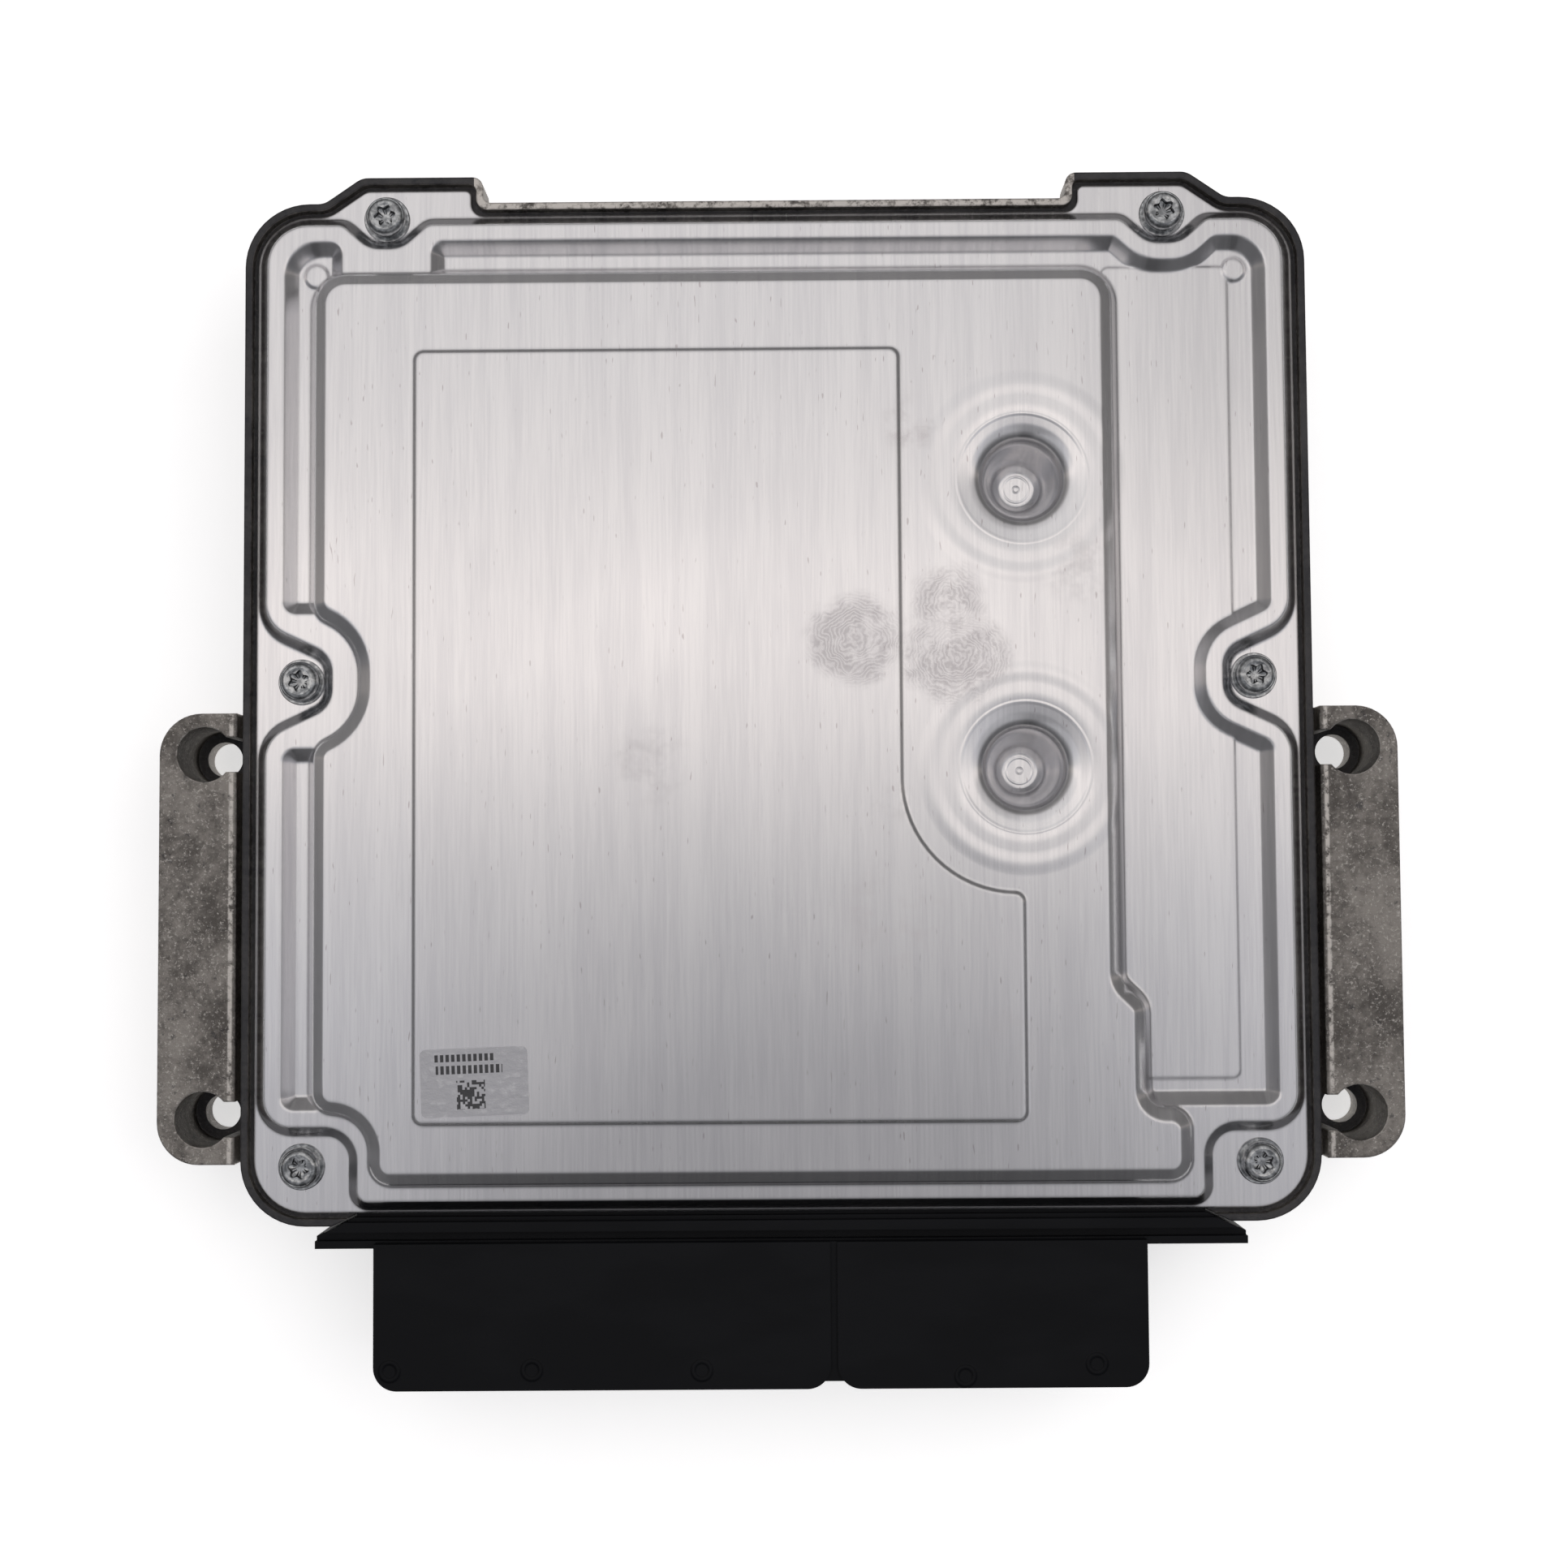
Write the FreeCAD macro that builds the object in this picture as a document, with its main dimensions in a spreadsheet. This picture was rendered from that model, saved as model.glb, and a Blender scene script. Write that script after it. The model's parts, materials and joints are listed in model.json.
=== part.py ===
import FreeCAD, Part
import math
import os

import Sketcher
from FreeCAD import Vector

# Engine control unit: a die-cast aluminium tub, a pressed aluminium cover held by six screws,
# a black connector header with two plug bays, and the circuit board inside.
# Millimetres. X to the right, Y to the rear, Z up, the plug bays towards -Y.
# The origin lies under the middle of the tub, on the plane that its fins and panel stand on.

doc = FreeCAD.newDocument("engine_control_unit")

# Driving sizes, each written once
DRIVING_SIZES = {
    # outline of the tub, measured from the origin
    "tub_width": 186.6,
    "tub_rear": 90.0,
    "tub_front": 89.0,
    "tub_corner": 11.3,
    "boss_reach": 4.6,
    "boss_inner": 51.4,
    "boss_outer": 72.8,
    "boss_angle": 34.5,
    "boss_round": 3.6,
    "boss_inner_round": 1.9,
    "boss_foot_round": 1.4,
    # heights of the tub
    "fin_height": 3.0,
    "floor_thickness": 3.5,
    "seal_height": 25.5,
    "rim_height": 2.0,
    "rim_width": 1.2,
    "rim_gap": 1.0,
    "ledge_width": 4.9,
    "flange_low": 20.0,
    "flange_overhang": 3.2,
    # cooling fins under the tub
    "fin_pitch": 8.0,
    "fin_width": 3.0,
    "fin_count": 13,
    "fin_length": 42.0,
    "fin_gap": 7.0,
    "panel_width": 110.0,
    "panel_depth": 60.0,
    "panel_corner": 3.0,
    # mounting ears
    "ear_reach": 16.3,
    "ear_rear": 0.4,
    "ear_front": 79.1,
    "ear_low": 2.5,
    "ear_top": 21.3,
    "ear_corner": 7.4,
    "ear_shoulder": 7.0,
    "ear_channel": 2.6,
    "ear_channel_depth": 4.0,
    "bolt_spacing_across": 203.3,
    "bolt_rear": 6.9,
    "bolt_spacing_along": 64.3,
    "bolt_hole": 3.2,
    "bolt_pocket": 4.9,
    "bolt_slot": 6.2,
    # cover screws
    "screw_side_x": 83.15,
    "screw_side_y": 5.25,
    "screw_rear_x": 68.4,
    "screw_rear_y": 87.2,
    "screw_front_x": 82.8,
    "screw_front_y": 78.8,
    "screw_shank": 2.0,
    "screw_hole_gap": 0.1,
    "screw_head": 3.5,
    "screw_head_height": 2.5,
    "screw_washer": 4.0,
    "screw_washer_height": 0.5,
    "screw_length": 12.0,
    "screw_hole_depth": 13.0,
    "screw_clearance": 0.25,
    "screw_recess": 1.9,
    "screw_recess_depth": 1.4,
    # pressed cover
    "sheet": 1.2,
    "seal_gap": 0.2,
    "bead_rise": 2.2,
    "bead_slope": 40.0,
    "bead_top": 2.75,
    "bead_margin": 0.4,
    "bead_side_round": 7.5,
    "bead_toe_round": 6.5,
    "bead_front_round": 3.6,
    "bead_rear_round": 4.0,
    "valley_slope": 45.0,
    "valley_round": 2.4,
    "valley_corner_gain": 2.0,
    "valley_start": 60.4,
    "valley_reach_left": 6.0,
    "valley_reach_rear": 8.0,
    "valley_reach_right": 3.0,
    "plateau_rise": 4.6,
    "plateau_slope": 25.0,
    "plateau_edge": 1.5,
    "plateau_left": 81.9,
    "plateau_right": 60.3,
    "plateau_step": 4.1,
    "plateau_step_front": 51.0,
    "plateau_step_rear": 47.0,
    "plateau_toe_x": 72.0,
    "plateau_toe_left": 70.9,
    "plateau_toe_right": 67.9,
    "plateau_toe_round": 5.2,
    "plateau_rear": 78.1,
    "plateau_front": 83.2,
    "plateau_corner": 7.0,
    "field_rise": 0.6,
    "field_left": 63.0,
    "field_right": 21.7,
    "field_step": 42.5,
    "field_rear": 62.7,
    "field_front": 71.5,
    "field_turn": 32.0,
    "field_turn_round": 19.5,
    "field_round": 1.9,
    "deck_rise": 0.3,
    "deck_right": 79.8,
    "deck_front": 64.7,
    "deck_round": 1.5,
    "deck_notch_round": 0.8,
    "deck_rear_inset": 5.0,
    "notch_reach": 4.0,
    "notch_half": 3.4,
    "notch_angle": 25.0,
    "rear_notch_half": 2.2,
    "rear_notch_angle": 48.0,
    "corner_notch_x": 74.6,
    "corner_notch_y": 73.6,
    "pip_x": 80.8,
    "pip_y": 77.1,
    "pip_radius": 2.3,
    "pip_rise": 0.5,
    # deep dimples of the cover
    "dimple_x": 42.8,
    "dimple_y": 39.6,
    "dimple_spacing": 50.3,
    "dimple_ring": 11.3,
    "dimple_ring_depth": 0.4,
    "dimple_lip": 9.3,
    "dimple_lip_depth": 1.3,
    "dimple_mouth": 7.5,
    "dimple_mouth_depth": 2.7,
    "dimple_throat": 6.3,
    "dimple_throat_depth": 4.7,
    "dimple_foot": 4.2,
    "dimple_step": 0.9,
    "dimple_bottom": 3.1,
    "dimple_depth": 11.5,
    "dimple_apron": 2.0,
    # connector header
    "header_width": 160.4,
    "header_front": 92.7,
    "header_tip": 90.7,
    "header_low": 1.2,
    "header_top": 28.2,
    "header_groove": 1.4,
    "header_groove_depth": 1.6,
    "header_ridge": 1.3,
    "plug_width": 147.0,
    "plug_shoulder": 87.6,
    "plug_rear": 81.5,
    "plug_sill": 5.0,
    "shroud_front": 116.5,
    "shroud_left": 69.7,
    "shroud_right": 62.6,
    "shroud_split": 9.0,
    "shroud_low": 2.6,
    "shroud_top": 30.4,
    "shroud_wall": 1.8,
    "shroud_round": 1.0,
    "shroud_crease": 1.2,
    "shroud_crease_depth": 0.6,
    "bay_round": 1.5,
    "key_width": 1.6,
    "key_height": 1.1,
    "key_setback": 4.0,
    "shroud_corner": 4.0,
    "bay_floor": 96.0,
    "fit": 0.3,
    "seal_strip": 3.0,
    "gasket_width": 1.6,
    "overlap": 1.0,
    # contact pins
    "pin_width": 0.64,
    "pin_pitch": 2.54,
    "pin_row_pitch": 3.0,
    "pin_rows": 4,
    "pin_columns_large": 22,
    "pin_columns_small": 15,
    "pin_tip": 107.0,
    "pin_lowest": 12.3,
    "pin_bend": 79.0,
    "pin_bend_pitch": 2.0,
    "blade_width": 2.8,
    "blade_thickness": 0.8,
    "blade_pitch": 4.6,
    "blade_columns": 3,
    "blade_x": 64.4,
    "signal_large_x": 50.2,
    "signal_small_x": 18.3,
    # circuit board
    "board_base": 8.5,
    "board_thickness": 1.6,
    "board_clearance": 1.5,
    "pad_thickness": 0.5,
    "pedestal_margin": 1.0,
    "board_post": 4.0,
    "board_post_x": 76.0,
    "board_post_rear": 60.0,
    "board_post_front": 58.0,
    "board_post_middle": 71.0,
    "board_screw": 1.5,
    "board_screw_head": 2.8,
    "board_screw_head_height": 1.8,
    "board_screw_length": 5.0,
    # parts on the board
    "package_slope": 8.0,
    "controller_x": 8.0,
    "controller_y": 20.0,
    "controller_size": 27.0,
    "controller_height": 2.4,
    "supply_x": 30.0,
    "supply_y": 6.0,
    "supply_size": 14.0,
    "supply_height": 2.2,
    "watchdog_x": 22.0,
    "watchdog_y": 40.0,
    "watchdog_size": 10.0,
    "watchdog_height": 1.8,
    "driver_x": 68.0,
    "driver_y": 22.0,
    "driver_width": 12.0,
    "driver_depth": 10.0,
    "driver_height": 2.4,
    "driver_pitch_across": 15.0,
    "driver_pitch_along": 13.0,
    "driver_rows": 3,
    "transistor_x": 35.0,
    "transistor_y": 56.0,
    "transistor_width": 6.6,
    "transistor_depth": 9.0,
    "transistor_height": 2.3,
    "transistor_pitch": 8.0,
    "transistor_count": 8,
    "diode_x": 36.0,
    "diode_y": 42.0,
    "diode_width": 7.0,
    "diode_depth": 5.8,
    "diode_pitch": 10.0,
    "diode_count": 3,
    "shunt_x": 45.0,
    "shunt_y": 56.0,
    "shunt_width": 6.4,
    "shunt_depth": 3.2,
    "shunt_height": 0.9,
    "shunt_pitch": 6.0,
    "shunt_count": 3,
    "filter_x": 60.0,
    "filter_y": 67.0,
    "filter_width": 3.2,
    "filter_depth": 2.5,
    "filter_height": 2.0,
    "filter_pitch": 11.0,
    "filter_count": 11,
    "crystal_x": 30.0,
    "crystal_y": 36.0,
    "crystal_width": 11.4,
    "crystal_depth": 4.8,
    "crystal_height": 3.6,
    "sensor_x": 50.0,
    "sensor_y": 50.0,
    "sensor_size": 9.0,
    "sensor_height": 3.0,
    "sensor_port": 1.2,
    "capacitor_x": 2.0,
    "capacitor_y": 36.0,
    "capacitor_pitch": 15.0,
    "capacitor_radius": 6.25,
    "capacitor_height": 16.5,
    "coil_size": 12.5,
    "coil_round": 1.2,
    # vent plug in the floor
    "vent_x": 69.0,
    "vent_y": 38.0,
    "vent_bore": 3.5,
    "vent_cap": 6.5,
    "vent_cap_height": 1.6,
    "vent_press": 0.02,
    # label
    "label_width": 18.4,
    "label_depth": 11.6,
    "label_thickness": 0.12,
    "label_x": 52.2,
    "label_y": 64.0,
    "label_turn": 2.0,
    "label_round": 1.0,
}

sheet = doc.addObject("Spreadsheet::Sheet", "sizes")
for row, (alias, number) in enumerate(DRIVING_SIZES.items(), start=1):
    sheet.set(f"A{row}", alias)
    sheet.set(f"B{row}", str(number))
    sheet.setAlias(f"B{row}", alias)
doc.recompute()


class Size:
    """A length or angle with its number and the expression that binds it to the sheet."""

    def __init__(self, value, text):
        self.value = float(value)
        self.text = text

    def __add__(self, other):
        other = as_size(other)
        return Size(self.value + other.value, f"({self.text} + {other.text})")

    def __sub__(self, other):
        other = as_size(other)
        return Size(self.value - other.value, f"({self.text} - {other.text})")

    def __mul__(self, other):
        other = as_size(other)
        return Size(self.value * other.value, f"({self.text} * {other.text})")

    def __truediv__(self, other):
        other = as_size(other)
        return Size(self.value / other.value, f"({self.text} / {other.text})")

    def __neg__(self):
        return Size(-self.value, f"(-1 * {self.text})")

    def __radd__(self, other):
        return as_size(other) + self

    def __rsub__(self, other):
        return as_size(other) - self

    def __rmul__(self, other):
        return as_size(other) * self


def as_size(number):
    """Give a plain number as a Size."""
    if isinstance(number, Size):
        return number
    return Size(number, f"({number!r})")


def cell(alias):
    """Give the sheet's cell of this alias as a Size."""
    return Size(sheet.get(alias), f"sizes.{alias}")


def tangent(angle):
    """Tangent of an angle in degrees."""
    return Size(math.tan(math.radians(angle.value)), f"tan({angle.text})")


def cosine(angle):
    """Cosine of an angle in degrees."""
    return Size(math.cos(math.radians(angle.value)), f"cos({angle.text})")


ZERO = as_size(0)


# Sketches and features

def origin_plane(body, role):
    """Find one of the body's own origin planes by its role."""
    return next(item for item in body.Origin.OriginFeatures if item.Role == role)


def make_body(name):
    """Add an empty body to the document."""
    return doc.addObject("PartDesign::Body", name)


def corner_points(corners, index):
    """Where the rounding of one corner starts and ends, and the middle of its arc."""
    x, y, radius = (as_size(item).value for item in corners[index])
    here = Vector(x, y, 0)
    if radius <= 0:
        return here, here, None
    before = corners[index - 1]
    after = corners[(index + 1) % len(corners)]
    back = (Vector(as_size(before[0]).value, as_size(before[1]).value, 0) - here).normalize()
    ahead = (Vector(as_size(after[0]).value, as_size(after[1]).value, 0) - here).normalize()
    half = back.getAngle(ahead) / 2
    setback = radius / math.tan(half)
    inward = (back + ahead).normalize()
    middle = here + inward * (radius / math.sin(half) - radius)
    return here + back * setback, here + ahead * setback, middle


def add_loop(sketch, corners):
    """Draw a closed loop of straight runs and tangent arcs, with its corners bound to the sheet."""
    spots = [corner_points(corners, index) for index in range(len(corners))]
    count = len(corners)
    lines, arcs, points = [], [], []
    for index in range(count):
        start = spots[index][1]
        end = spots[(index + 1) % count][0]
        lines.append(sketch.addGeometry(Part.LineSegment(start, end), False))
    for index, (x, y, radius) in enumerate(corners):
        first, last, middle = spots[index]
        corner = Vector(as_size(x).value, as_size(y).value, 0)
        if middle is None:
            arcs.append(None)
            points.append(None)
        else:
            arcs.append(sketch.addGeometry(Part.Arc(first, middle, last), False))
            points.append(sketch.addGeometry(Part.Point(corner), True))
    constraints, bindings, shared = [], [], {}

    def drive(kind, size, *places):
        """Bind a constraint to its size, or tie it to the first one that has the same size."""
        partner = {"DistanceX": "Vertical", "DistanceY": "Horizontal", "Radius": "Equal"}[kind]
        first = shared.setdefault((kind, size.text), places)
        if first is not places:
            constraints.append(Sketcher.Constraint(partner, *first, *places))
            return
        bindings.append((len(constraints), size))
        origin = () if kind == "Radius" else (-1, 1)
        constraints.append(Sketcher.Constraint(kind, *origin, *places, size.value))

    for index, (x, y, radius) in enumerate(corners):
        before, after = lines[index - 1], lines[index]
        if arcs[index] is None:
            constraints.append(Sketcher.Constraint("Coincident", before, 2, after, 1))
            drive("DistanceX", as_size(x), after, 1)
            drive("DistanceY", as_size(y), after, 1)
            continue
        arc, point = arcs[index], points[index]
        arc_start = sketch.getPoint(arc, 1)
        near_start = (arc_start - spots[index][0]).Length < (arc_start - spots[index][1]).Length
        start_end = (1, 2) if near_start else (2, 1)
        constraints.append(Sketcher.Constraint("Tangent", before, 2, arc, start_end[0]))
        constraints.append(Sketcher.Constraint("Tangent", arc, start_end[1], after, 1))
        constraints.append(Sketcher.Constraint("PointOnObject", point, 1, before))
        constraints.append(Sketcher.Constraint("PointOnObject", point, 1, after))
        drive("DistanceX", as_size(x), point, 1)
        drive("DistanceY", as_size(y), point, 1)
        drive("Radius", as_size(radius), arc)
    first_constraint = sketch.ConstraintCount
    sketch.addConstraint(constraints)
    for offset, size in bindings:
        sketch.setExpression(f"Constraints[{first_constraint + offset}]", size.text)


def add_circle(sketch, x, y, radius):
    """Draw a circle with its centre and radius bound to the sheet."""
    x, y, radius = as_size(x), as_size(y), as_size(radius)
    circle = sketch.addGeometry(
        Part.Circle(Vector(x.value, y.value, 0), Vector(0, 0, 1), radius.value), False)
    first = sketch.ConstraintCount
    sketch.addConstraint([
        Sketcher.Constraint("DistanceX", -1, 1, circle, 3, x.value),
        Sketcher.Constraint("DistanceY", -1, 1, circle, 3, y.value),
        Sketcher.Constraint("Radius", circle, radius.value),
    ])
    for offset, size in enumerate((x, y, radius)):
        sketch.setExpression(f"Constraints[{first + offset}]", size.text)


def make_sketch(body, name, loops=(), circles=(), plane="XY_Plane", level=ZERO):
    """Add a sketch to the body, lifted off one of its origin planes by a bound distance."""
    sketch = body.newObject("Sketcher::SketchObject", name)
    sketch.AttachmentSupport = [(origin_plane(body, plane), "")]
    sketch.MapMode = "FlatFace"
    sketch.AttachmentOffset = FreeCAD.Placement(
        Vector(0, 0, as_size(level).value), FreeCAD.Rotation())
    sketch.setExpression("AttachmentOffset.Base.z", as_size(level).text)
    for corners in loops:
        add_loop(sketch, corners)
    for x, y, radius in circles:
        add_circle(sketch, x, y, radius)
    return sketch


def sweep_feature(body, kind, name, sketch, length, slope=None, against=False):
    """Add a pad or a pocket of a sketch, with its length and slope bound to the sheet."""
    feature = body.newObject(f"PartDesign::{kind}", name)
    feature.Profile = sketch
    feature.Length = as_size(length).value
    feature.setExpression("Length", as_size(length).text)
    feature.Reversed = against
    if slope is not None:
        feature.TaperAngle = -slope.value
        feature.setExpression("TaperAngle", (-slope).text)
    sketch.Visibility = False
    return feature


def pad(body, name, length, loops=(), circles=(), plane="XY_Plane", level=ZERO, slope=None,
        against=False):
    """Add material over the outlines."""
    sketch = make_sketch(body, name + "_sketch", loops, circles, plane, level)
    return sweep_feature(body, "Pad", name, sketch, length, slope, against)


def pocket(body, name, length, loops=(), circles=(), plane="XY_Plane", level=ZERO, slope=None,
           against=False):
    """Cut the outlines out of the body, and make sure that something was cut."""
    doc.recompute()
    before = body.Shape.Volume
    sketch = make_sketch(body, name + "_sketch", loops, circles, plane, level)
    feature = sweep_feature(body, "Pocket", name, sketch, length, slope, against)
    doc.recompute()
    if not body.Shape.Volume < before:
        raise ValueError(f"{name} cuts nothing")
    return feature


def repeat(body, name, originals, axis, pitch, count):
    """Repeat features of the body in a row along one of its axes."""
    pattern = body.newObject("PartDesign::LinearPattern", name)
    pattern.Originals = originals
    pattern.Direction = (origin_plane(body, axis), [""])
    pattern.Length = (pitch * (count - 1)).value
    pattern.setExpression("Length", (pitch * (count - 1)).text)
    pattern.Occurrences = int(count.value)
    pattern.setExpression("Occurrences", count.text)
    body.Tip = pattern
    return pattern


def bevel_edges(body, name, chosen, size):
    """Chamfer the edges of the body's tip that the test picks."""
    doc.recompute()
    base = body.Tip
    names = [f"Edge{number}" for number, edge in enumerate(base.Shape.Edges, start=1)
             if chosen(edge)]
    if not names:
        raise ValueError(f"{name} finds no edge")
    chamfer = body.newObject("PartDesign::Chamfer", name)
    chamfer.Base = (base, names)
    chamfer.Size = size.value
    chamfer.setExpression("Size", size.text)
    return chamfer


def lies_at(edge, height, tolerance=1e-4):
    """Tell whether an edge lies flat at this height."""
    box = edge.BoundBox
    return abs(box.ZMin - height) < tolerance and abs(box.ZMax - height) < tolerance


def rectangle(x_low, x_high, y_low, y_high, radius=0):
    """Corners of an upright rectangle with rounded corners."""
    return [(x_low, y_low, radius), (x_high, y_low, radius),
            (x_high, y_high, radius), (x_low, y_high, radius)]


def turned_profile(body, kind, name, points, x, y):
    """Turn a profile of radius and height about an upright axis at x, y."""
    sketch = body.newObject("Sketcher::SketchObject", name + "_sketch")
    sketch.AttachmentSupport = [(origin_plane(body, "XZ_Plane"), "")]
    sketch.MapMode = "FlatFace"
    x, y = as_size(x), as_size(y)
    sketch.AttachmentOffset = FreeCAD.Placement(Vector(x.value, 0, -y.value), FreeCAD.Rotation())
    sketch.setExpression("AttachmentOffset.Base.x", x.text)
    sketch.setExpression("AttachmentOffset.Base.z", (-y).text)
    add_loop(sketch, points)
    feature = body.newObject(f"PartDesign::{kind}", name)
    feature.Profile = sketch
    feature.ReferenceAxis = (sketch, ["V_Axis"])
    feature.Angle = 360
    sketch.Visibility = False
    return feature


pieces = []


def keep(item, label):
    """Name a finished piece: its label is the name of its file."""
    item.Label = label
    pieces.append(item)
    return item


# Heights that several pieces share
floor_top = cell("fin_height") + cell("floor_thickness")
seal_face = cell("seal_height")
rim_top = seal_face + cell("rim_height")
flange_base = seal_face + cell("seal_gap")
flange_top = flange_base + cell("sheet")
bead_level = flange_top + cell("bead_rise")
plateau_level = flange_top + cell("plateau_rise")
field_level = plateau_level + cell("field_rise")
dimple_low = plateau_level - cell("dimple_depth")
board_top = cell("board_base") + cell("board_thickness")
half_width = cell("tub_width") / 2
cover_inset = cell("rim_width") + cell("rim_gap")
past = cell("overlap")  # how far a cutting or joining outline runs past what it meets


def tub_outline(inset):
    """Outline of the tub seen from above, drawn in by the inset, with its two rear bosses."""
    inset = as_size(inset)
    side = half_width - inset
    rear = cell("tub_rear") - inset
    front = -(cell("tub_front") - inset)
    boss = rear + cell("boss_reach")
    lean = inset * tangent(cell("boss_angle") / 2)
    run = cell("boss_reach") / tangent(cell("boss_angle"))
    outer_top = cell("boss_outer") - lean
    outer_foot = outer_top + run
    inner = cell("boss_inner") + inset
    corner = cell("tub_corner") - inset
    convex = cell("boss_round") - inset * 0.5
    concave = cell("boss_round") + inset * 0.5
    small_convex = cell("boss_inner_round") - inset * 0.4
    small_concave = cell("boss_foot_round") + inset * 0.4
    return [
        (-side, front, corner), (side, front, corner), (side, rear, corner),
        (outer_foot, rear, concave), (outer_top, boss, convex),
        (inner, boss, small_convex), (inner, rear, small_concave),
        (-inner, rear, small_concave), (-inner, boss, small_convex),
        (-outer_top, boss, convex), (-outer_foot, rear, concave),
        (-side, rear, corner),
    ]


def side_notch(side, line, inset, upward, outer_round):
    """Four corners that lead an outline round the screw in the middle of one side."""
    angle = cell("notch_angle")
    inner = cell("screw_side_x") - cell("notch_reach") - inset
    reach = cell("notch_reach") + line - cell("screw_side_x")
    ease = as_size(1) / cosine(angle) - tangent(angle)
    half_in = cell("notch_half") + inset * ease
    half_out = cell("notch_half") + reach * tangent(angle) + inset / cosine(angle)
    inner_round = cell("notch_half") * 0.95 + inset
    middle = cell("screw_side_y")
    x_out = line * side
    x_in = inner * side
    corners = [
        (x_out, middle - half_out, outer_round), (x_in, middle - half_in, inner_round),
        (x_in, middle + half_in, inner_round), (x_out, middle + half_out, outer_round),
    ]
    return corners if upward else corners[::-1]


def rear_notch(side, line, inset, outer_round):
    """Four corners that lead an outline round a rear screw, listed from right to left."""
    angle = cell("rear_notch_angle")
    inner = cell("screw_rear_y") - cell("notch_reach") - inset
    reach = line - inner
    ease = as_size(1) / cosine(angle) - tangent(angle)
    half_in = cell("rear_notch_half") + inset * ease
    half_out = half_in + reach * tangent(angle)
    inner_round = cell("notch_half") + inset
    middle = cell("screw_rear_x") * side
    return [
        (middle + half_out, line, outer_round), (middle + half_in, inner, inner_round),
        (middle - half_in, inner, inner_round), (middle - half_out, line, outer_round),
    ]


def front_notch(side, side_line, front_line, inset, first_round, last_round):
    """Three corners round a front screw, listed from the side to the front."""
    notch_x = (cell("corner_notch_x") - inset) * side
    notch_y = -(cell("corner_notch_y") - inset)
    return [
        (side_line * side, notch_y, first_round),
        (notch_x, notch_y, cell("notch_reach") + inset),
        (notch_x, -front_line, last_round),
    ]


# The line of the bead's outer foot, and of all that runs beside it
foot_side = half_width - cover_inset - cell("bead_margin")
foot_rear = cell("tub_rear") - cover_inset - cell("bead_margin")
foot_front = cell("tub_front") - cover_inset - cell("bead_margin")
foot_corner = cell("tub_corner") - cover_inset - cell("bead_margin")


def bead_line(inset):
    """Outline that runs beside the bead's outer foot, drawn in by the inset."""
    inset = as_size(inset)
    side = foot_side - inset
    rear = foot_rear - inset
    front = foot_front - inset
    corner = foot_corner - inset
    wide = cell("bead_side_round") - inset * 0.75
    first = cell("bead_toe_round") - inset * 0.6
    last = cell("bead_front_round") - inset * 0.35
    rear_round = cell("bead_rear_round") - inset * 0.3
    left_front = front_notch(-1, side, front, inset, first, last)
    right_front = front_notch(1, side, front, inset, first, last)
    return (
        left_front
        + right_front[::-1]
        + side_notch(1, side, inset, True, wide)
        + [(side, rear, corner)]
        + rear_notch(1, rear, inset, rear_round)
        + rear_notch(-1, rear, inset, rear_round)
        + [(-side, rear, corner)]
        + side_notch(-1, side, inset, False, wide)
    )


SCREW_PLACES = [
    (-cell("screw_rear_x"), cell("screw_rear_y")),
    (cell("screw_rear_x"), cell("screw_rear_y")),
    (-cell("screw_side_x"), cell("screw_side_y")),
    (cell("screw_side_x"), cell("screw_side_y")),
    (-cell("screw_front_x"), -cell("screw_front_y")),
    (cell("screw_front_x"), -cell("screw_front_y")),
]

BOLT_PLACES = [
    (side * (cell("bolt_spacing_across") / 2), -(cell("bolt_rear") + along))
    for side in (-1, 1)
    for along in (ZERO, cell("bolt_spacing_along"))
]

BOARD_SCREW_PLACES = [
    (-cell("board_post_x"), cell("board_post_rear")),
    (cell("board_post_x"), cell("board_post_rear")),
    (-cell("board_post_x"), -cell("board_post_front")),
    (cell("board_post_x"), -cell("board_post_front")),
    (ZERO, cell("board_post_middle")),
    (ZERO, -cell("board_post_front")),
]

DIMPLE_PLACES = [
    (cell("dimple_x"), cell("dimple_y")),
    (cell("dimple_x"), cell("dimple_y") - cell("dimple_spacing")),
]

# What runs hot on the board and is cooled through the floor: middle x, middle y, width, depth
transistor_run = cell("transistor_pitch") * (cell("transistor_count") - 1)
driver_run = cell("driver_pitch_along") * (cell("driver_rows") - 1)
HOT_SPOTS = [
    (cell("driver_pitch_across") / 2 - cell("driver_x"), cell("driver_y") + driver_run / 2,
     cell("driver_pitch_across") + cell("driver_width"), driver_run + cell("driver_depth")),
    (transistor_run / 2 - cell("transistor_x"), cell("transistor_y"),
     transistor_run + cell("transistor_width"), cell("transistor_depth")),
    (cell("controller_x"), -cell("controller_y"), cell("controller_size"),
     cell("controller_size")),
]

BAY_SPANS = [
    (-(cell("shroud_left") - cell("shroud_wall")),
     cell("shroud_split") - cell("shroud_crease") / 2 - cell("shroud_wall")),
    (cell("shroud_split") + cell("shroud_crease") / 2 + cell("shroud_wall"),
     cell("shroud_right") - cell("shroud_wall")),
]


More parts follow.
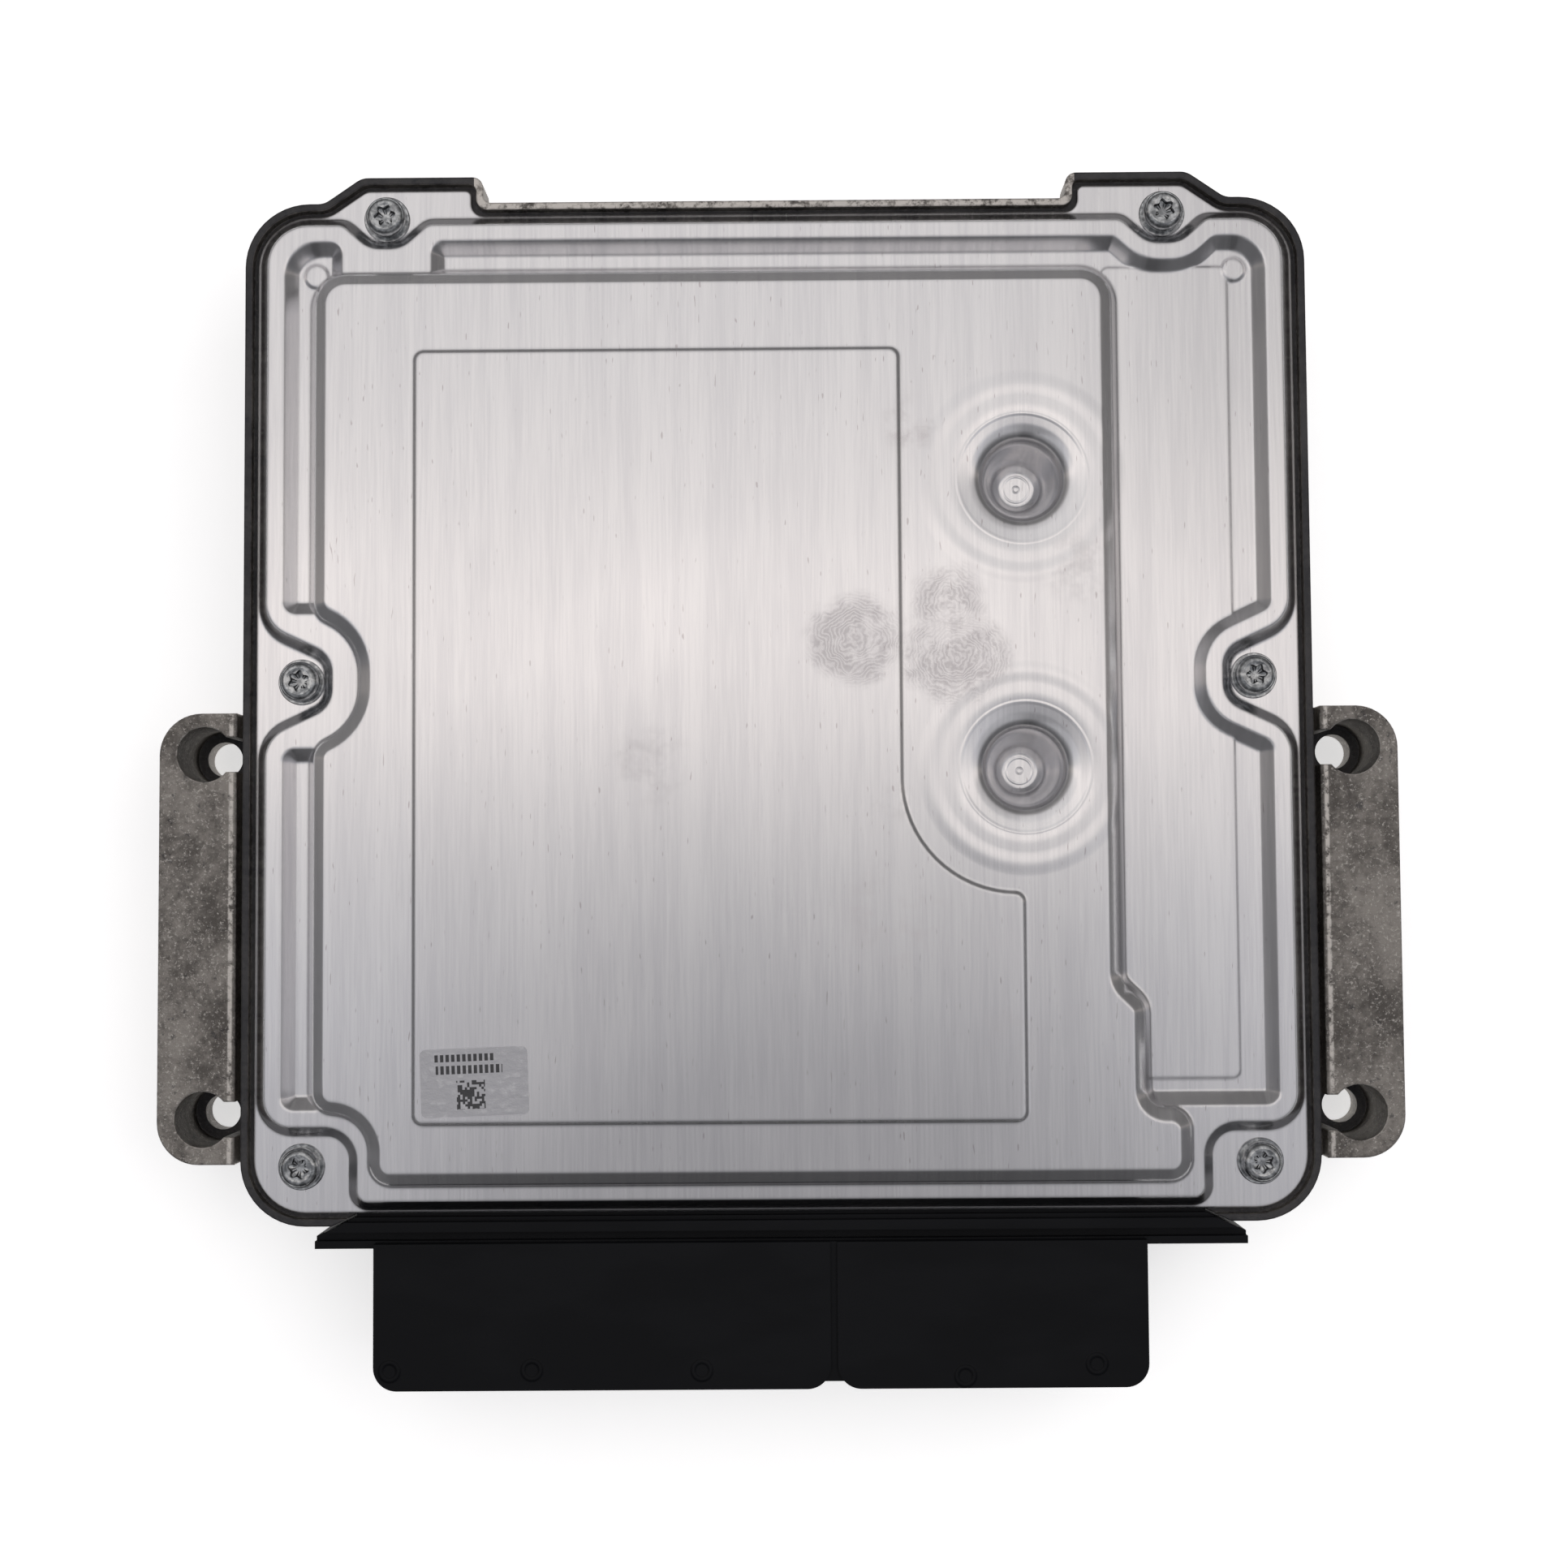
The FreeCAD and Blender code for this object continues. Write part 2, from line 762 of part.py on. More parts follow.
def press_form():
    """Solid whose upper face is the outer face of the pressed sheet, its dimples apart."""
    body = make_body("press_form")
    low, bead, high = flange_top, bead_level, plateau_level
    base = low - cell("sheet") * 2
    pad(body, "flange", low - base, [tub_outline(cover_inset)], level=base)
    pad(body, "bead_band", cell("bead_rise"), [bead_line(0)], level=low, slope=cell("bead_slope"))
    bead_run = cell("bead_rise") * tangent(cell("bead_slope"))
    inner = bead_run + cell("bead_top")
    side, rear = foot_side - inner, foot_rear - inner
    under_left = cell("plateau_left") - cell("valley_reach_left")
    under_rear = cell("plateau_rear") - cell("valley_reach_rear")
    under_right = cell("plateau_right") - cell("valley_reach_right")
    valley_front = -(cell("corner_notch_y") - inner)
    valley_corner = foot_corner - inner + cell("valley_corner_gain")
    end_round = cell("valley_round")
    notch_gap = cell("notch_half") + (cell("notch_reach") + side - cell("screw_side_x")) \
        * tangent(cell("notch_angle")) + inner / cosine(cell("notch_angle"))
    left_rear = rectangle(-side, -under_left, cell("screw_side_y") + notch_gap, rear, end_round)
    left_rear[3] = (-side, rear, valley_corner)
    left_front = rectangle(-side, -under_left, valley_front, cell("screw_side_y") - notch_gap,
                           end_round)
    right = (
        [(under_right, valley_front, end_round), (side, valley_front, end_round)]
        + side_notch(1, side, inner, True, end_round)
        + [(side, rear, valley_corner)]
        + rear_notch(1, rear, inner, end_round)
        + [(-cell("valley_start"), rear, end_round), (-cell("valley_start"), under_rear, end_round),
           (under_right, under_rear, end_round)]
    )
    pocket(body, "valleys", cell("bead_rise"), [left_rear, left_front, right], level=bead,
           slope=cell("valley_slope"))
    deck_side, deck_round = cell("deck_right"), cell("deck_round")
    deck_rear = rear - cell("deck_rear_inset")
    deck = (
        [(under_right, -cell("deck_front"), deck_round),
         (deck_side, -cell("deck_front"), deck_round)]
        + side_notch(1, deck_side, inner, True, cell("deck_notch_round"))
        + [(deck_side, deck_rear, deck_round), (under_right, deck_rear, deck_round)]
    )
    pad(body, "deck", cell("deck_rise"), [deck], level=low, slope=cell("valley_slope"))
    step_x = cell("plateau_right") + cell("plateau_step")
    toe_x, toe_round = cell("plateau_toe_x"), cell("plateau_toe_round")
    plateau = (
        [(-toe_x, -cell("plateau_front"), toe_round), (toe_x, -cell("plateau_front"), toe_round),
         (toe_x, -cell("plateau_toe_right"), toe_round),
         (step_x, -cell("plateau_toe_right"), cell("field_round")),
         (step_x, -cell("plateau_step_front"), toe_round),
         (cell("plateau_right"), -cell("plateau_step_rear"), cell("valley_round")),
         (cell("plateau_right"), cell("plateau_rear"), cell("plateau_corner")),
         (-cell("plateau_left"), cell("plateau_rear"), cell("plateau_corner"))]
        + side_notch(-1, cell("plateau_left"), toe_round, False, toe_round)
        + [(-cell("plateau_left"), -cell("plateau_toe_left"), toe_round),
           (-toe_x, -cell("plateau_toe_left"), toe_round)]
    )
    pad(body, "plateau", cell("plateau_rise"), [plateau], level=low, slope=cell("plateau_slope"))
    bevel_edges(body, "plateau_shoulder", lambda edge: lies_at(edge, high.value),
                cell("plateau_edge"))
    small = cell("field_round")
    field = [
        (-cell("field_left"), -cell("field_front"), small),
        (cell("field_step"), -cell("field_front"), small),
        (cell("field_step"), -cell("field_turn"), small),
        (cell("field_right"), -cell("field_turn"), cell("field_turn_round")),
        (cell("field_right"), cell("field_rear"), small),
        (-cell("field_left"), cell("field_rear"), small),
    ]
    pad(body, "field", cell("field_rise"), [field], level=high, slope=cell("valley_slope"))
    pips = [(-cell("pip_x"), cell("pip_y"), cell("pip_radius")),
            (cell("pip_x"), cell("pip_y"), cell("pip_radius"))]
    pad(body, "pips", cell("pip_rise"), circles=pips, level=low, slope=cell("valley_slope"))
    screw_holes = [(x, y, cell("screw_shank") + cell("screw_clearance")) for x, y in SCREW_PLACES]
    cups = [(x, y, cell("dimple_ring") + cell("dimple_apron")) for x, y in DIMPLE_PLACES]
    pocket(body, "holes", (high - base) * 2, circles=screw_holes + cups, level=high * 1.1)
    return body


def placed(source, name, x=ZERO, y=ZERO, z=ZERO, turn=ZERO):
    """The shape of another object, moved and turned about the upright by bound sizes."""
    copy = doc.addObject("Part::Compound", name)
    copy.Links = [source]
    copy.Placement = FreeCAD.Placement(Vector(x.value, y.value, z.value),
                                       FreeCAD.Rotation(Vector(0, 0, 1), turn.value))
    for prop, size in (("Base.x", x), ("Base.y", y), ("Base.z", z), ("Rotation.Angle", turn)):
        if size is not ZERO:
            copy.setExpression(f"Placement.{prop}", size.text)
    return copy


def boolean(kind, name, base, tool):
    """Join two objects by a cut, fuse or common."""
    result = doc.addObject(f"Part::{kind}", name)
    result.Base = base
    result.Tool = tool
    return result


def dimple_cup(number, x, y):
    """One deep dimple of the sheet: its wall turned about the dimple's axis."""
    body = make_body(f"dimple_cup_{number}")
    under = cell("sheet")
    beside = cell("sheet") * 0.8
    rim = cell("dimple_ring") + cell("dimple_apron")
    high, low = plateau_level, dimple_low
    funnel = [(cell(f"dimple_{place}"), high - cell(f"dimple_{place}_depth"))
              for place in ("ring", "lip", "mouth", "throat")]
    profile = (
        [(ZERO, low, ZERO), (cell("dimple_bottom"), low, ZERO),
         (cell("dimple_foot"), low + cell("dimple_step"), ZERO)]
        + [(radius, height, ZERO) for radius, height in funnel[::-1]]
        + [(rim, high, ZERO), (rim, high - under, ZERO),
           (cell("dimple_ring"), high - cell("dimple_ring_depth") - under, ZERO),
           (cell("dimple_throat") + beside, high - cell("dimple_throat_depth") - under, ZERO),
           (cell("dimple_bottom") + beside, low - under, ZERO), (ZERO, low - under, ZERO)]
    )
    turned_profile(body, "Revolution", "cup", profile, x, y)
    return body


def pressed_cover():
    """Pressed sheet cover, with its beads, plateau, field, dimples and screw holes."""
    form = press_form()
    lowered = placed(form, "lowered_form", z=-cell("sheet"))
    blank = boolean("Cut", "pierced_sheet", form, lowered)
    whole = doc.addObject("Part::MultiFuse", "sheet_with_dimples")
    whole.Shapes = [blank] + [dimple_cup(number, x, y)
                              for number, (x, y) in enumerate(DIMPLE_PLACES, start=1)]
    return keep(whole, "cover")


# Die-cast tub: flange and walls, ears, rim, floor with fins and panel, pedestals for the board

def mirrored_pads(body, name, length, corners, level):
    """Pad an outline and its mirror image to the left and right."""
    other = [(-x, y, radius) for x, y, radius in corners][::-1]
    pad(body, name, length, [corners, other], level=level)


def header_outline(play):
    """Corners of the header's plate and plug seen from above, grown by the play."""
    play = as_size(play)
    plug = cell("plug_width") / 2 + play
    tip = cell("header_width") / 2 + play
    shoulder = -(cell("plug_shoulder") - play)
    end = -(cell("header_tip") - play)
    return plug, tip, shoulder, end


def die_cast_tub():
    """The housing: everything that is cast in one piece."""
    body = make_body("tub")
    base = cell("fin_height")
    pad(body, "wall", cell("flange_low") - base, [tub_outline(cell("flange_overhang"))], level=base)
    pad(body, "flange_block", rim_top - cell("flange_low"), [tub_outline(0)],
        level=cell("flange_low"))
    root = half_width - cell("flange_overhang") - past
    ear_edge = half_width + cell("ear_reach")
    ear = [(root, -cell("ear_front"), ZERO), (ear_edge, -cell("ear_front"), cell("ear_corner")),
           (ear_edge, cell("ear_rear"), cell("ear_corner")), (root, cell("ear_rear"), ZERO)]
    mirrored_pads(body, "ears", cell("ear_top") - cell("ear_low"), ear, cell("ear_low"))
    pocket(body, "interior", rim_top - floor_top, [bead_line(cell("ledge_width"))], level=rim_top)
    pocket(body, "rim_step", cell("rim_height"), [tub_outline(cell("rim_width"))], level=rim_top)
    plug, tip, shoulder, end = header_outline(cell("fit"))
    rear = -(cell("plug_rear") - cell("fit"))
    before_front = -cell("header_front")
    opening = [(-tip, before_front, ZERO), (tip, before_front, ZERO), (tip, end, ZERO),
               (plug, shoulder, ZERO), (plug, rear, ZERO), (-plug, rear, ZERO),
               (-plug, shoulder, ZERO), (-tip, end, ZERO)]
    pocket(body, "header_opening", rim_top - cell("plug_sill") + cell("fit"), [opening],
           level=rim_top)
    channel = rectangle(half_width, half_width + cell("ear_channel"), -cell("ear_front") - past,
                        cell("ear_rear") + past)
    other_channel = [(-x, y, radius) for x, y, radius in channel][::-1]
    pocket(body, "ear_channels", cell("ear_channel_depth"), [channel, other_channel],
           level=cell("ear_top"))
    pockets = [(x, y, cell("bolt_pocket")) for x, y in BOLT_PLACES]
    pocket(body, "bolt_pockets", cell("ear_top") - cell("ear_shoulder"), circles=pockets,
           level=cell("ear_top"))
    slots = [rectangle(*sorted((x, side), key=lambda size: size.value),
                       y - cell("bolt_slot") / 2, y + cell("bolt_slot") / 2)
             for x, y in BOLT_PLACES
             for side in [half_width * (1 if x.value > 0 else -1)]]
    pocket(body, "bolt_slots", cell("ear_top") - cell("ear_shoulder"), slots,
           level=cell("ear_top"))
    bolt_holes = [(x, y, cell("bolt_hole")) for x, y in BOLT_PLACES]
    pocket(body, "bolt_holes", cell("ear_top"), circles=bolt_holes, level=cell("ear_top"))
    threads = [(x, y, cell("screw_shank") + cell("screw_hole_gap")) for x, y in SCREW_PLACES]
    pocket(body, "cover_screw_holes", cell("screw_hole_depth"), circles=threads, level=seal_face)
    posts = [(x, y, cell("board_post")) for x, y in BOARD_SCREW_PLACES]
    pad(body, "board_posts", cell("board_base") - floor_top, circles=posts, level=floor_top)
    margin = cell("pedestal_margin")
    pedestals = [rectangle(x - width / 2 - margin, x + width / 2 + margin,
                           y - depth / 2 - margin, y + depth / 2 + margin)
                 for x, y, width, depth in HOT_SPOTS]
    pad(body, "pedestals", cell("board_base") - cell("pad_thickness") - floor_top, pedestals,
        level=floor_top)
    post_holes = [(x, y, cell("board_screw") + cell("screw_hole_gap"))
                  for x, y in BOARD_SCREW_PLACES]
    post_depth = cell("board_screw_length") - cell("board_thickness") + past
    pocket(body, "board_screw_holes", post_depth, circles=post_holes, level=cell("board_base"))
    pocket(body, "vent_hole", cell("floor_thickness") * 2,
           circles=[(cell("vent_x"), -cell("vent_y"), cell("vent_bore"))], level=floor_top + past)
    panel = rectangle(-cell("panel_width") / 2, cell("panel_width") / 2,
                      -cell("panel_depth") / 2, cell("panel_depth") / 2, cell("panel_corner"))
    pad(body, "panel", base, [panel])
    fin_x = -(cell("fin_pitch") * (cell("fin_count") - 1) / 2)
    fin_y = cell("panel_depth") / 2 + cell("fin_gap")
    fin = rectangle(fin_x - cell("fin_width") / 2, fin_x + cell("fin_width") / 2,
                    fin_y, fin_y + cell("fin_length"))
    repeat(body, "fins", [pad(body, "first_fin", base, [fin])], "X_Axis", cell("fin_pitch"),
           cell("fin_count"))
    return keep(body, "housing")


# Connector header: plate, plug, two shrouds with their bays, and the pins through its web

def connector_header():
    """The moulded header, before its pin holes are cut."""
    body = make_body("header_moulding")
    plug, tip, shoulder, end = header_outline(0)
    front = -cell("header_front")
    plate = [(-tip, front, ZERO), (tip, front, ZERO), (tip, end, ZERO),
             (plug, shoulder, ZERO), (-plug, shoulder, ZERO), (-tip, end, ZERO)]
    pad(body, "plate", cell("header_top") - cell("header_low"), [plate], level=cell("header_low"))
    block = rectangle(-plug, plug, shoulder - past, -cell("plug_rear"))
    pad(body, "plug", seal_face - cell("plug_sill"), [block], level=cell("plug_sill"))
    groove_end = tip + past
    first_groove = rectangle(-groove_end, groove_end, shoulder - cell("header_groove") / 2,
                             shoulder + past)
    second = front + cell("header_ridge")
    second_groove = rectangle(-groove_end, groove_end, second, second + cell("header_groove"))
    pocket(body, "top_grooves", cell("header_groove_depth"), [first_groove, second_groove],
           level=cell("header_top"))
    half_crease = cell("shroud_crease") / 2
    mouth = -cell("shroud_front")
    left_box = rectangle(-cell("shroud_left"), cell("shroud_split") - half_crease, mouth,
                         front + past, ZERO)
    right_box = rectangle(cell("shroud_split") + half_crease, cell("shroud_right"), mouth,
                          front + past, ZERO)
    for box in (left_box, right_box):
        for corner in (0, 1):
            box[corner] = box[corner][:2] + (cell("shroud_corner"),)
    height = cell("shroud_top") - cell("shroud_low")
    pad(body, "shrouds", height, [left_box, right_box], level=cell("shroud_low"))
    inner_wall = cell("shroud_wall") + half_crease
    web = rectangle(cell("shroud_split") - inner_wall, cell("shroud_split") + inner_wall,
                    mouth + cell("shroud_crease"), front + past)
    crease = cell("shroud_crease_depth")
    pad(body, "middle_web", height - crease * 2, [web], level=cell("shroud_low") + crease)
    bays = [
        rectangle(x_low, x_high, cell("shroud_low") + cell("shroud_wall"),
                  cell("shroud_top") - cell("shroud_wall"), cell("bay_round"))
        for x_low, x_high in BAY_SPANS
    ]
    pocket(body, "bays", cell("shroud_front") - cell("bay_floor"), bays, plane="XZ_Plane",
           level=cell("shroud_front"))
    keys = []
    for x_low, x_high in BAY_SPANS:
        for share in (0.22, 0.8):
            middle = x_low + (x_high - x_low) * share
            foot = cell("shroud_low") + cell("shroud_wall")
            keys.append(rectangle(middle - cell("key_width") / 2, middle + cell("key_width") / 2,
                                  foot - cell("shroud_wall") / 2, foot + cell("key_height")))
    pad(body, "keys", cell("shroud_front") - cell("bay_floor") + past - cell("key_setback"), keys,
        plane="XZ_Plane", level=cell("bay_floor") - past)
    return body


def bent_pin(height, bend, half):
    """Side view of a contact that runs back through the web and down onto the board."""
    tip = -cell("pin_tip")
    return [(tip, height - half, ZERO), (bend - half, height - half, ZERO),
            (bend - half, board_top, ZERO), (bend + half, board_top, ZERO),
            (bend + half, height + half, ZERO), (tip, height + half, ZERO)]


def contacts(name, width, thickness, rows, first_x, pitch, columns):
    """Rows of contacts, each row bent down a little further back than the one below it."""
    body = make_body(name)
    body.AllowCompound = True
    pads = []
    for row in rows:
        height = cell("pin_lowest") + cell("pin_row_pitch") * row
        bend = cell("pin_bend_pitch") * row - cell("pin_bend")
        pads.append(pad(body, f"row_{row + 1}", width, [bent_pin(height, bend, thickness / 2)],
                        plane="YZ_Plane", level=first_x - width / 2))
    repeat(body, "columns", pads, "X_Axis", pitch, columns)
    return keep(body, name)


def connector():
    """The header moulding with the holes of its contacts, and the contacts themselves."""
    moulding = connector_header()
    pin, rows = cell("pin_width"), range(int(cell("pin_rows").value))
    large = contacts("signal_pins_large_bay", pin, pin, rows, -cell("signal_large_x"),
                     cell("pin_pitch"), cell("pin_columns_large"))
    small = contacts("signal_pins_small_bay", pin, pin, rows, cell("signal_small_x"),
                     cell("pin_pitch"), cell("pin_columns_small"))
    blades = contacts("power_blades", cell("blade_width"), cell("blade_thickness"),
                      (rows[0], rows[-1]), -cell("blade_x"), cell("blade_pitch"),
                      cell("blade_columns"))
    metal = doc.addObject("Part::Compound", "all_contacts")
    metal.Links = [large, small, blades]
    keep(boolean("Cut", "header_with_pin_holes", moulding, metal), "connector_header")


# Screws, seals, board and what it carries

def six_lobed_recess(reach):
    """Corners of a six-lobed drive recess, its lobes kept straight."""
    corners = []
    for lobe in range(6):
        for turn, share in ((0, 1.0), (30, 0.72)):
            angle = math.radians(60 * lobe + turn)
            corners.append((reach * (share * math.cos(angle)), reach * (share * math.sin(angle)),
                            ZERO))
    return corners


def cover_screws():
    """The six screws that hold the cover down: head, washer flange, six-lobed recess."""
    body = make_body("cover_screw")
    shank, head, flange = cell("screw_shank"), cell("screw_head"), cell("screw_washer")
    low = flange_top - cell("screw_length")
    washer_top = flange_top + cell("screw_washer_height")
    top = washer_top + cell("screw_head_height")
    profile = [
        (ZERO, low, ZERO), (shank, low, ZERO), (shank, flange_top, ZERO),
        (flange, flange_top, ZERO), (flange, washer_top, ZERO), (head, washer_top, ZERO),
        (head, top, ZERO), (ZERO, top, ZERO),
    ]
    turned_profile(body, "Revolution", "turned", profile, ZERO, ZERO)
    pocket(body, "recess", cell("screw_recess_depth"), [six_lobed_recess(cell("screw_recess"))],
           level=top)
    for number, (x, y) in enumerate(SCREW_PLACES, start=1):
        keep(placed(body, f"screw_place_{number}", x, y), f"cover_screw_{number}")


def board_screws():
    """Six small pan-head screws through the board into the posts."""
    body = make_body("board_screw")
    shank, head = cell("board_screw"), cell("board_screw_head")
    low, top = board_top - cell("board_screw_length"), board_top + cell("board_screw_head_height")
    profile = [
        (ZERO, low, ZERO), (shank, low, ZERO), (shank, board_top, ZERO), (head, board_top, ZERO),
        (head, top, ZERO), (ZERO, top, ZERO),
    ]
    turned_profile(body, "Revolution", "turned", profile, ZERO, ZERO)
    group("board_screws", [placed(body, f"board_screw_place_{number}", x, y)
                           for number, (x, y) in enumerate(BOARD_SCREW_PLACES, start=1)])


def cover_gasket():
    """Bead of sealant between the tub's ledge and the hollow of the cover's bead."""
    body = make_body("gasket_band")
    middle = cell("bead_rise") * tangent(cell("bead_slope")) + cell("bead_top") / 2
    half = cell("gasket_width") / 2
    height = bead_level - cell("sheet") - seal_face
    pad(body, "band", height, [bead_line(middle - half)], level=seal_face)
    pocket(body, "middle", height * 2, [bead_line(middle + half)], level=seal_face + height)
    keep(body, "cover_gasket")


def header_seal():
    """U-shaped strip of sealant under and beside the header's plug."""
    body = make_body("seal_strip_body")
    inner = cell("plug_width") / 2
    outer = inner + cell("fit")
    sill = cell("plug_sill")
    strip = [(-outer, sill - cell("fit"), ZERO), (outer, sill - cell("fit"), ZERO),
             (outer, seal_face, ZERO), (inner, seal_face, ZERO), (inner, sill, ZERO),
             (-inner, sill, ZERO), (-inner, seal_face, ZERO), (-outer, seal_face, ZERO)]
    pad(body, "strip", cell("seal_strip"), [strip], plane="XZ_Plane",
        level=cell("plug_rear") + cell("fit"))
    keep(body, "header_seal")


def circuit_board():
    """The board, milled with plain corners inside the tub's inner wall, and its screw holes."""
    body = make_body("board")
    thickness = cell("board_thickness")
    inner_line = bead_line(cell("ledge_width") + cell("board_clearance"))
    outline = [(x, y, ZERO) for x, y, radius in inner_line]
    pad(body, "laminate", thickness, [outline], level=cell("board_base"))
    holes = [(x, y, cell("board_screw") + cell("screw_clearance")) for x, y in BOARD_SCREW_PLACES]
    pocket(body, "screw_holes", thickness * 2, circles=holes, level=board_top + past)
    keep(body, "circuit_board")


def block(name, width, depth, height, x, y, level):
    """An upright box centred on x, y."""
    box = doc.addObject("Part::Box", name)
    for prop, size in (("Length", width), ("Width", depth), ("Height", height),
                       ("Placement.Base.x", x - width / 2), ("Placement.Base.y", y - depth / 2),
                       ("Placement.Base.z", level)):
        box.setExpression(prop, size.text)
    return box


def can(name, radius, height, x, y, level):
    """An upright cylinder at x, y."""
    cylinder = doc.addObject("Part::Cylinder", name)
    for prop, size in (("Radius", radius), ("Height", height), ("Placement.Base.x", x),
                       ("Placement.Base.y", y), ("Placement.Base.z", level)):
        cylinder.setExpression(prop, size.text)
    return cylinder


def group(label, members):
    """Several like solids kept under one name."""
    compound = doc.addObject("Part::Compound", label + "_group")
    compound.Links = members
    return keep(compound, label)


def package(body, name, x, y, width, depth, height):
    """A moulded chip package with drafted sides, standing on the board."""
    outline = rectangle(x - width / 2, x + width / 2, y - depth / 2, y + depth / 2)
    return pad(body, name, height, [outline], level=board_top, slope=cell("package_slope"))


def single_package(label, x, y, size, height):
    """One square chip package kept under its own name."""
    body = make_body(label + "_body")
    package(body, "moulding", x, y, size, size, height)
    return keep(body, label)


def package_row(label, x, y, width, depth, height, pitch, count, axis="X_Axis"):
    """A row of like packages."""
    body = make_body(label + "_body")
    body.AllowCompound = True
    first = package(body, "first", x, y, width, depth, height)
    repeat(body, "row", [first], axis, pitch, count)
    return keep(body, label)


def driver_chips():
    """Two columns of output drivers."""
    body = make_body("driver_chips_body")
    body.AllowCompound = True
    columns = [package(body, f"column_{number}", cell("driver_pitch_across") * number
                       - cell("driver_x"), cell("driver_y"), cell("driver_width"),
                       cell("driver_depth"), cell("driver_height")) for number in (0, 1)]
    repeat(body, "rows", columns, "Y_Axis", cell("driver_pitch_along"), cell("driver_rows"))
    keep(body, "driver_chips")


def electrolytic_capacitors():
    """Four standing cans in two rows."""
    group("electrolytic_capacitors", [
        can(f"capacitor_{row}_{column}", cell("capacitor_radius"), cell("capacitor_height"),
            cell("capacitor_x") + cell("capacitor_pitch") * column,
            cell("capacitor_y") - cell("capacitor_pitch") * row, board_top)
        for row in (0, 1) for column in (0, 1)
    ])


def storage_coils():
    """Two square coils, cooled through a pad by the deep dimples of the cover."""
    height = dimple_low - cell("sheet") - cell("pad_thickness") - board_top
    half = cell("coil_size") / 2
    coils, pads = [], []
    for number, (x, y) in enumerate(DIMPLE_PLACES, start=1):
        body = make_body(f"coil_{number}")
        pad(body, "coil", height, [rectangle(x - half, x + half, y - half, y + half,
                                             cell("coil_round"))], level=board_top)
        coils.append(body)
        pads.append(can(f"dimple_pad_{number}", cell("dimple_bottom"), cell("pad_thickness"),
                        x, y, board_top + height))
    group("storage_coils", coils)
    group("dimple_pads", pads)


def pressure_sensor():
    """Air pressure sensor: a small package with a round port."""
    body = make_body("sensor")
    x, y, height = cell("sensor_x"), -cell("sensor_y"), cell("sensor_height")
    package(body, "moulding", x, y, cell("sensor_size"), cell("sensor_size"), height)
    pocket(body, "port", height / 2, circles=[(x, y, cell("sensor_port"))],
           level=board_top + height)
    keep(body, "pressure_sensor")


def parts_on_board():
    """Everything soldered to the upper side of the board."""
    single_package("microcontroller", cell("controller_x"), -cell("controller_y"),
                   cell("controller_size"), cell("controller_height"))
    single_package("power_supply_chip", -cell("supply_x"), -cell("supply_y"),
                   cell("supply_size"), cell("supply_height"))
    single_package("watchdog_chip", -cell("watchdog_x"), -cell("watchdog_y"),
                   cell("watchdog_size"), cell("watchdog_height"))
    driver_chips()
    package_row("output_transistors", -cell("transistor_x"), cell("transistor_y"),
                cell("transistor_width"), cell("transistor_depth"), cell("transistor_height"),
                cell("transistor_pitch"), cell("transistor_count"))
    package_row("rectifier_diodes", -cell("diode_x"), cell("diode_y"), cell("diode_width"),
                cell("diode_depth"), cell("transistor_height"), cell("diode_pitch"),
                cell("diode_count"))
    package_row("shunt_resistors", cell("shunt_x"), cell("shunt_y"), cell("shunt_width"),
                cell("shunt_depth"), cell("shunt_height"), cell("shunt_pitch"),
                cell("shunt_count"), axis="Y_Axis")
    package_row("filter_capacitors", -cell("filter_x"), -cell("filter_y"), cell("filter_width"),
                cell("filter_depth"), cell("filter_height"), cell("filter_pitch"),
                cell("filter_count"))
    keep(block("crystal_can", cell("crystal_width"), cell("crystal_depth"),
               cell("crystal_height"), cell("crystal_x"), -cell("crystal_y"), board_top),
         "crystal")
    electrolytic_capacitors()
    storage_coils()
    pressure_sensor()


def thermal_pads():
    """Soft pads between the hot spots of the board and the pedestals of the tub."""
    group("thermal_pads", [
        block(f"thermal_pad_{number}", width, depth, cell("pad_thickness"), x, y,
              cell("board_base") - cell("pad_thickness"))
        for number, (x, y, width, depth) in enumerate(HOT_SPOTS, start=1)
    ])


def vent_plug():
    """Pressure vent pressed into the floor from below."""
    body = make_body("vent")
    base, cap = cell("fin_height"), cell("vent_cap")
    low = base - cell("vent_cap_height")
    stem = cell("vent_bore") - cell("vent_press")
    profile = [
        (ZERO, low, ZERO), (cap, low, ZERO), (cap, base, ZERO),
        (stem, base, ZERO), (stem, floor_top, ZERO), (ZERO, floor_top, ZERO),
    ]
    turned_profile(body, "Revolution", "turned", profile, cell("vent_x"), -cell("vent_y"))
    keep(body, "vent_plug")


def trace_label():
    """Small foil label stuck to the raised field, a little out of square."""
    body = make_body("foil")
    half_x, half_y = cell("label_width") / 2, cell("label_depth") / 2
    pad(body, "sheet_of_foil", cell("label_thickness"),
        [rectangle(-half_x, half_x, -half_y, half_y, cell("label_round"))])
    keep(placed(body, "label_place", -cell("label_x"), -cell("label_y"), field_level,
                cell("label_turn")), "trace_label")


pressed_cover()
die_cast_tub()
connector()
cover_screws()
cover_gasket()
header_seal()
circuit_board()
board_screws()
parts_on_board()
thermal_pads()
vent_plug()
trace_label()
doc.recompute()

# Every feature must have built, and every piece must be sound, before anything is written
for item in doc.Objects:
    if "Invalid" in item.State or "Error" in item.State:
        raise ValueError(f"{item.Name} failed: {item.State}")
for item in pieces:
    if item.Shape.isNull() or not item.Shape.isValid() or not item.Shape.Solids:
        raise ValueError(f"{item.Label} has no sound solid")

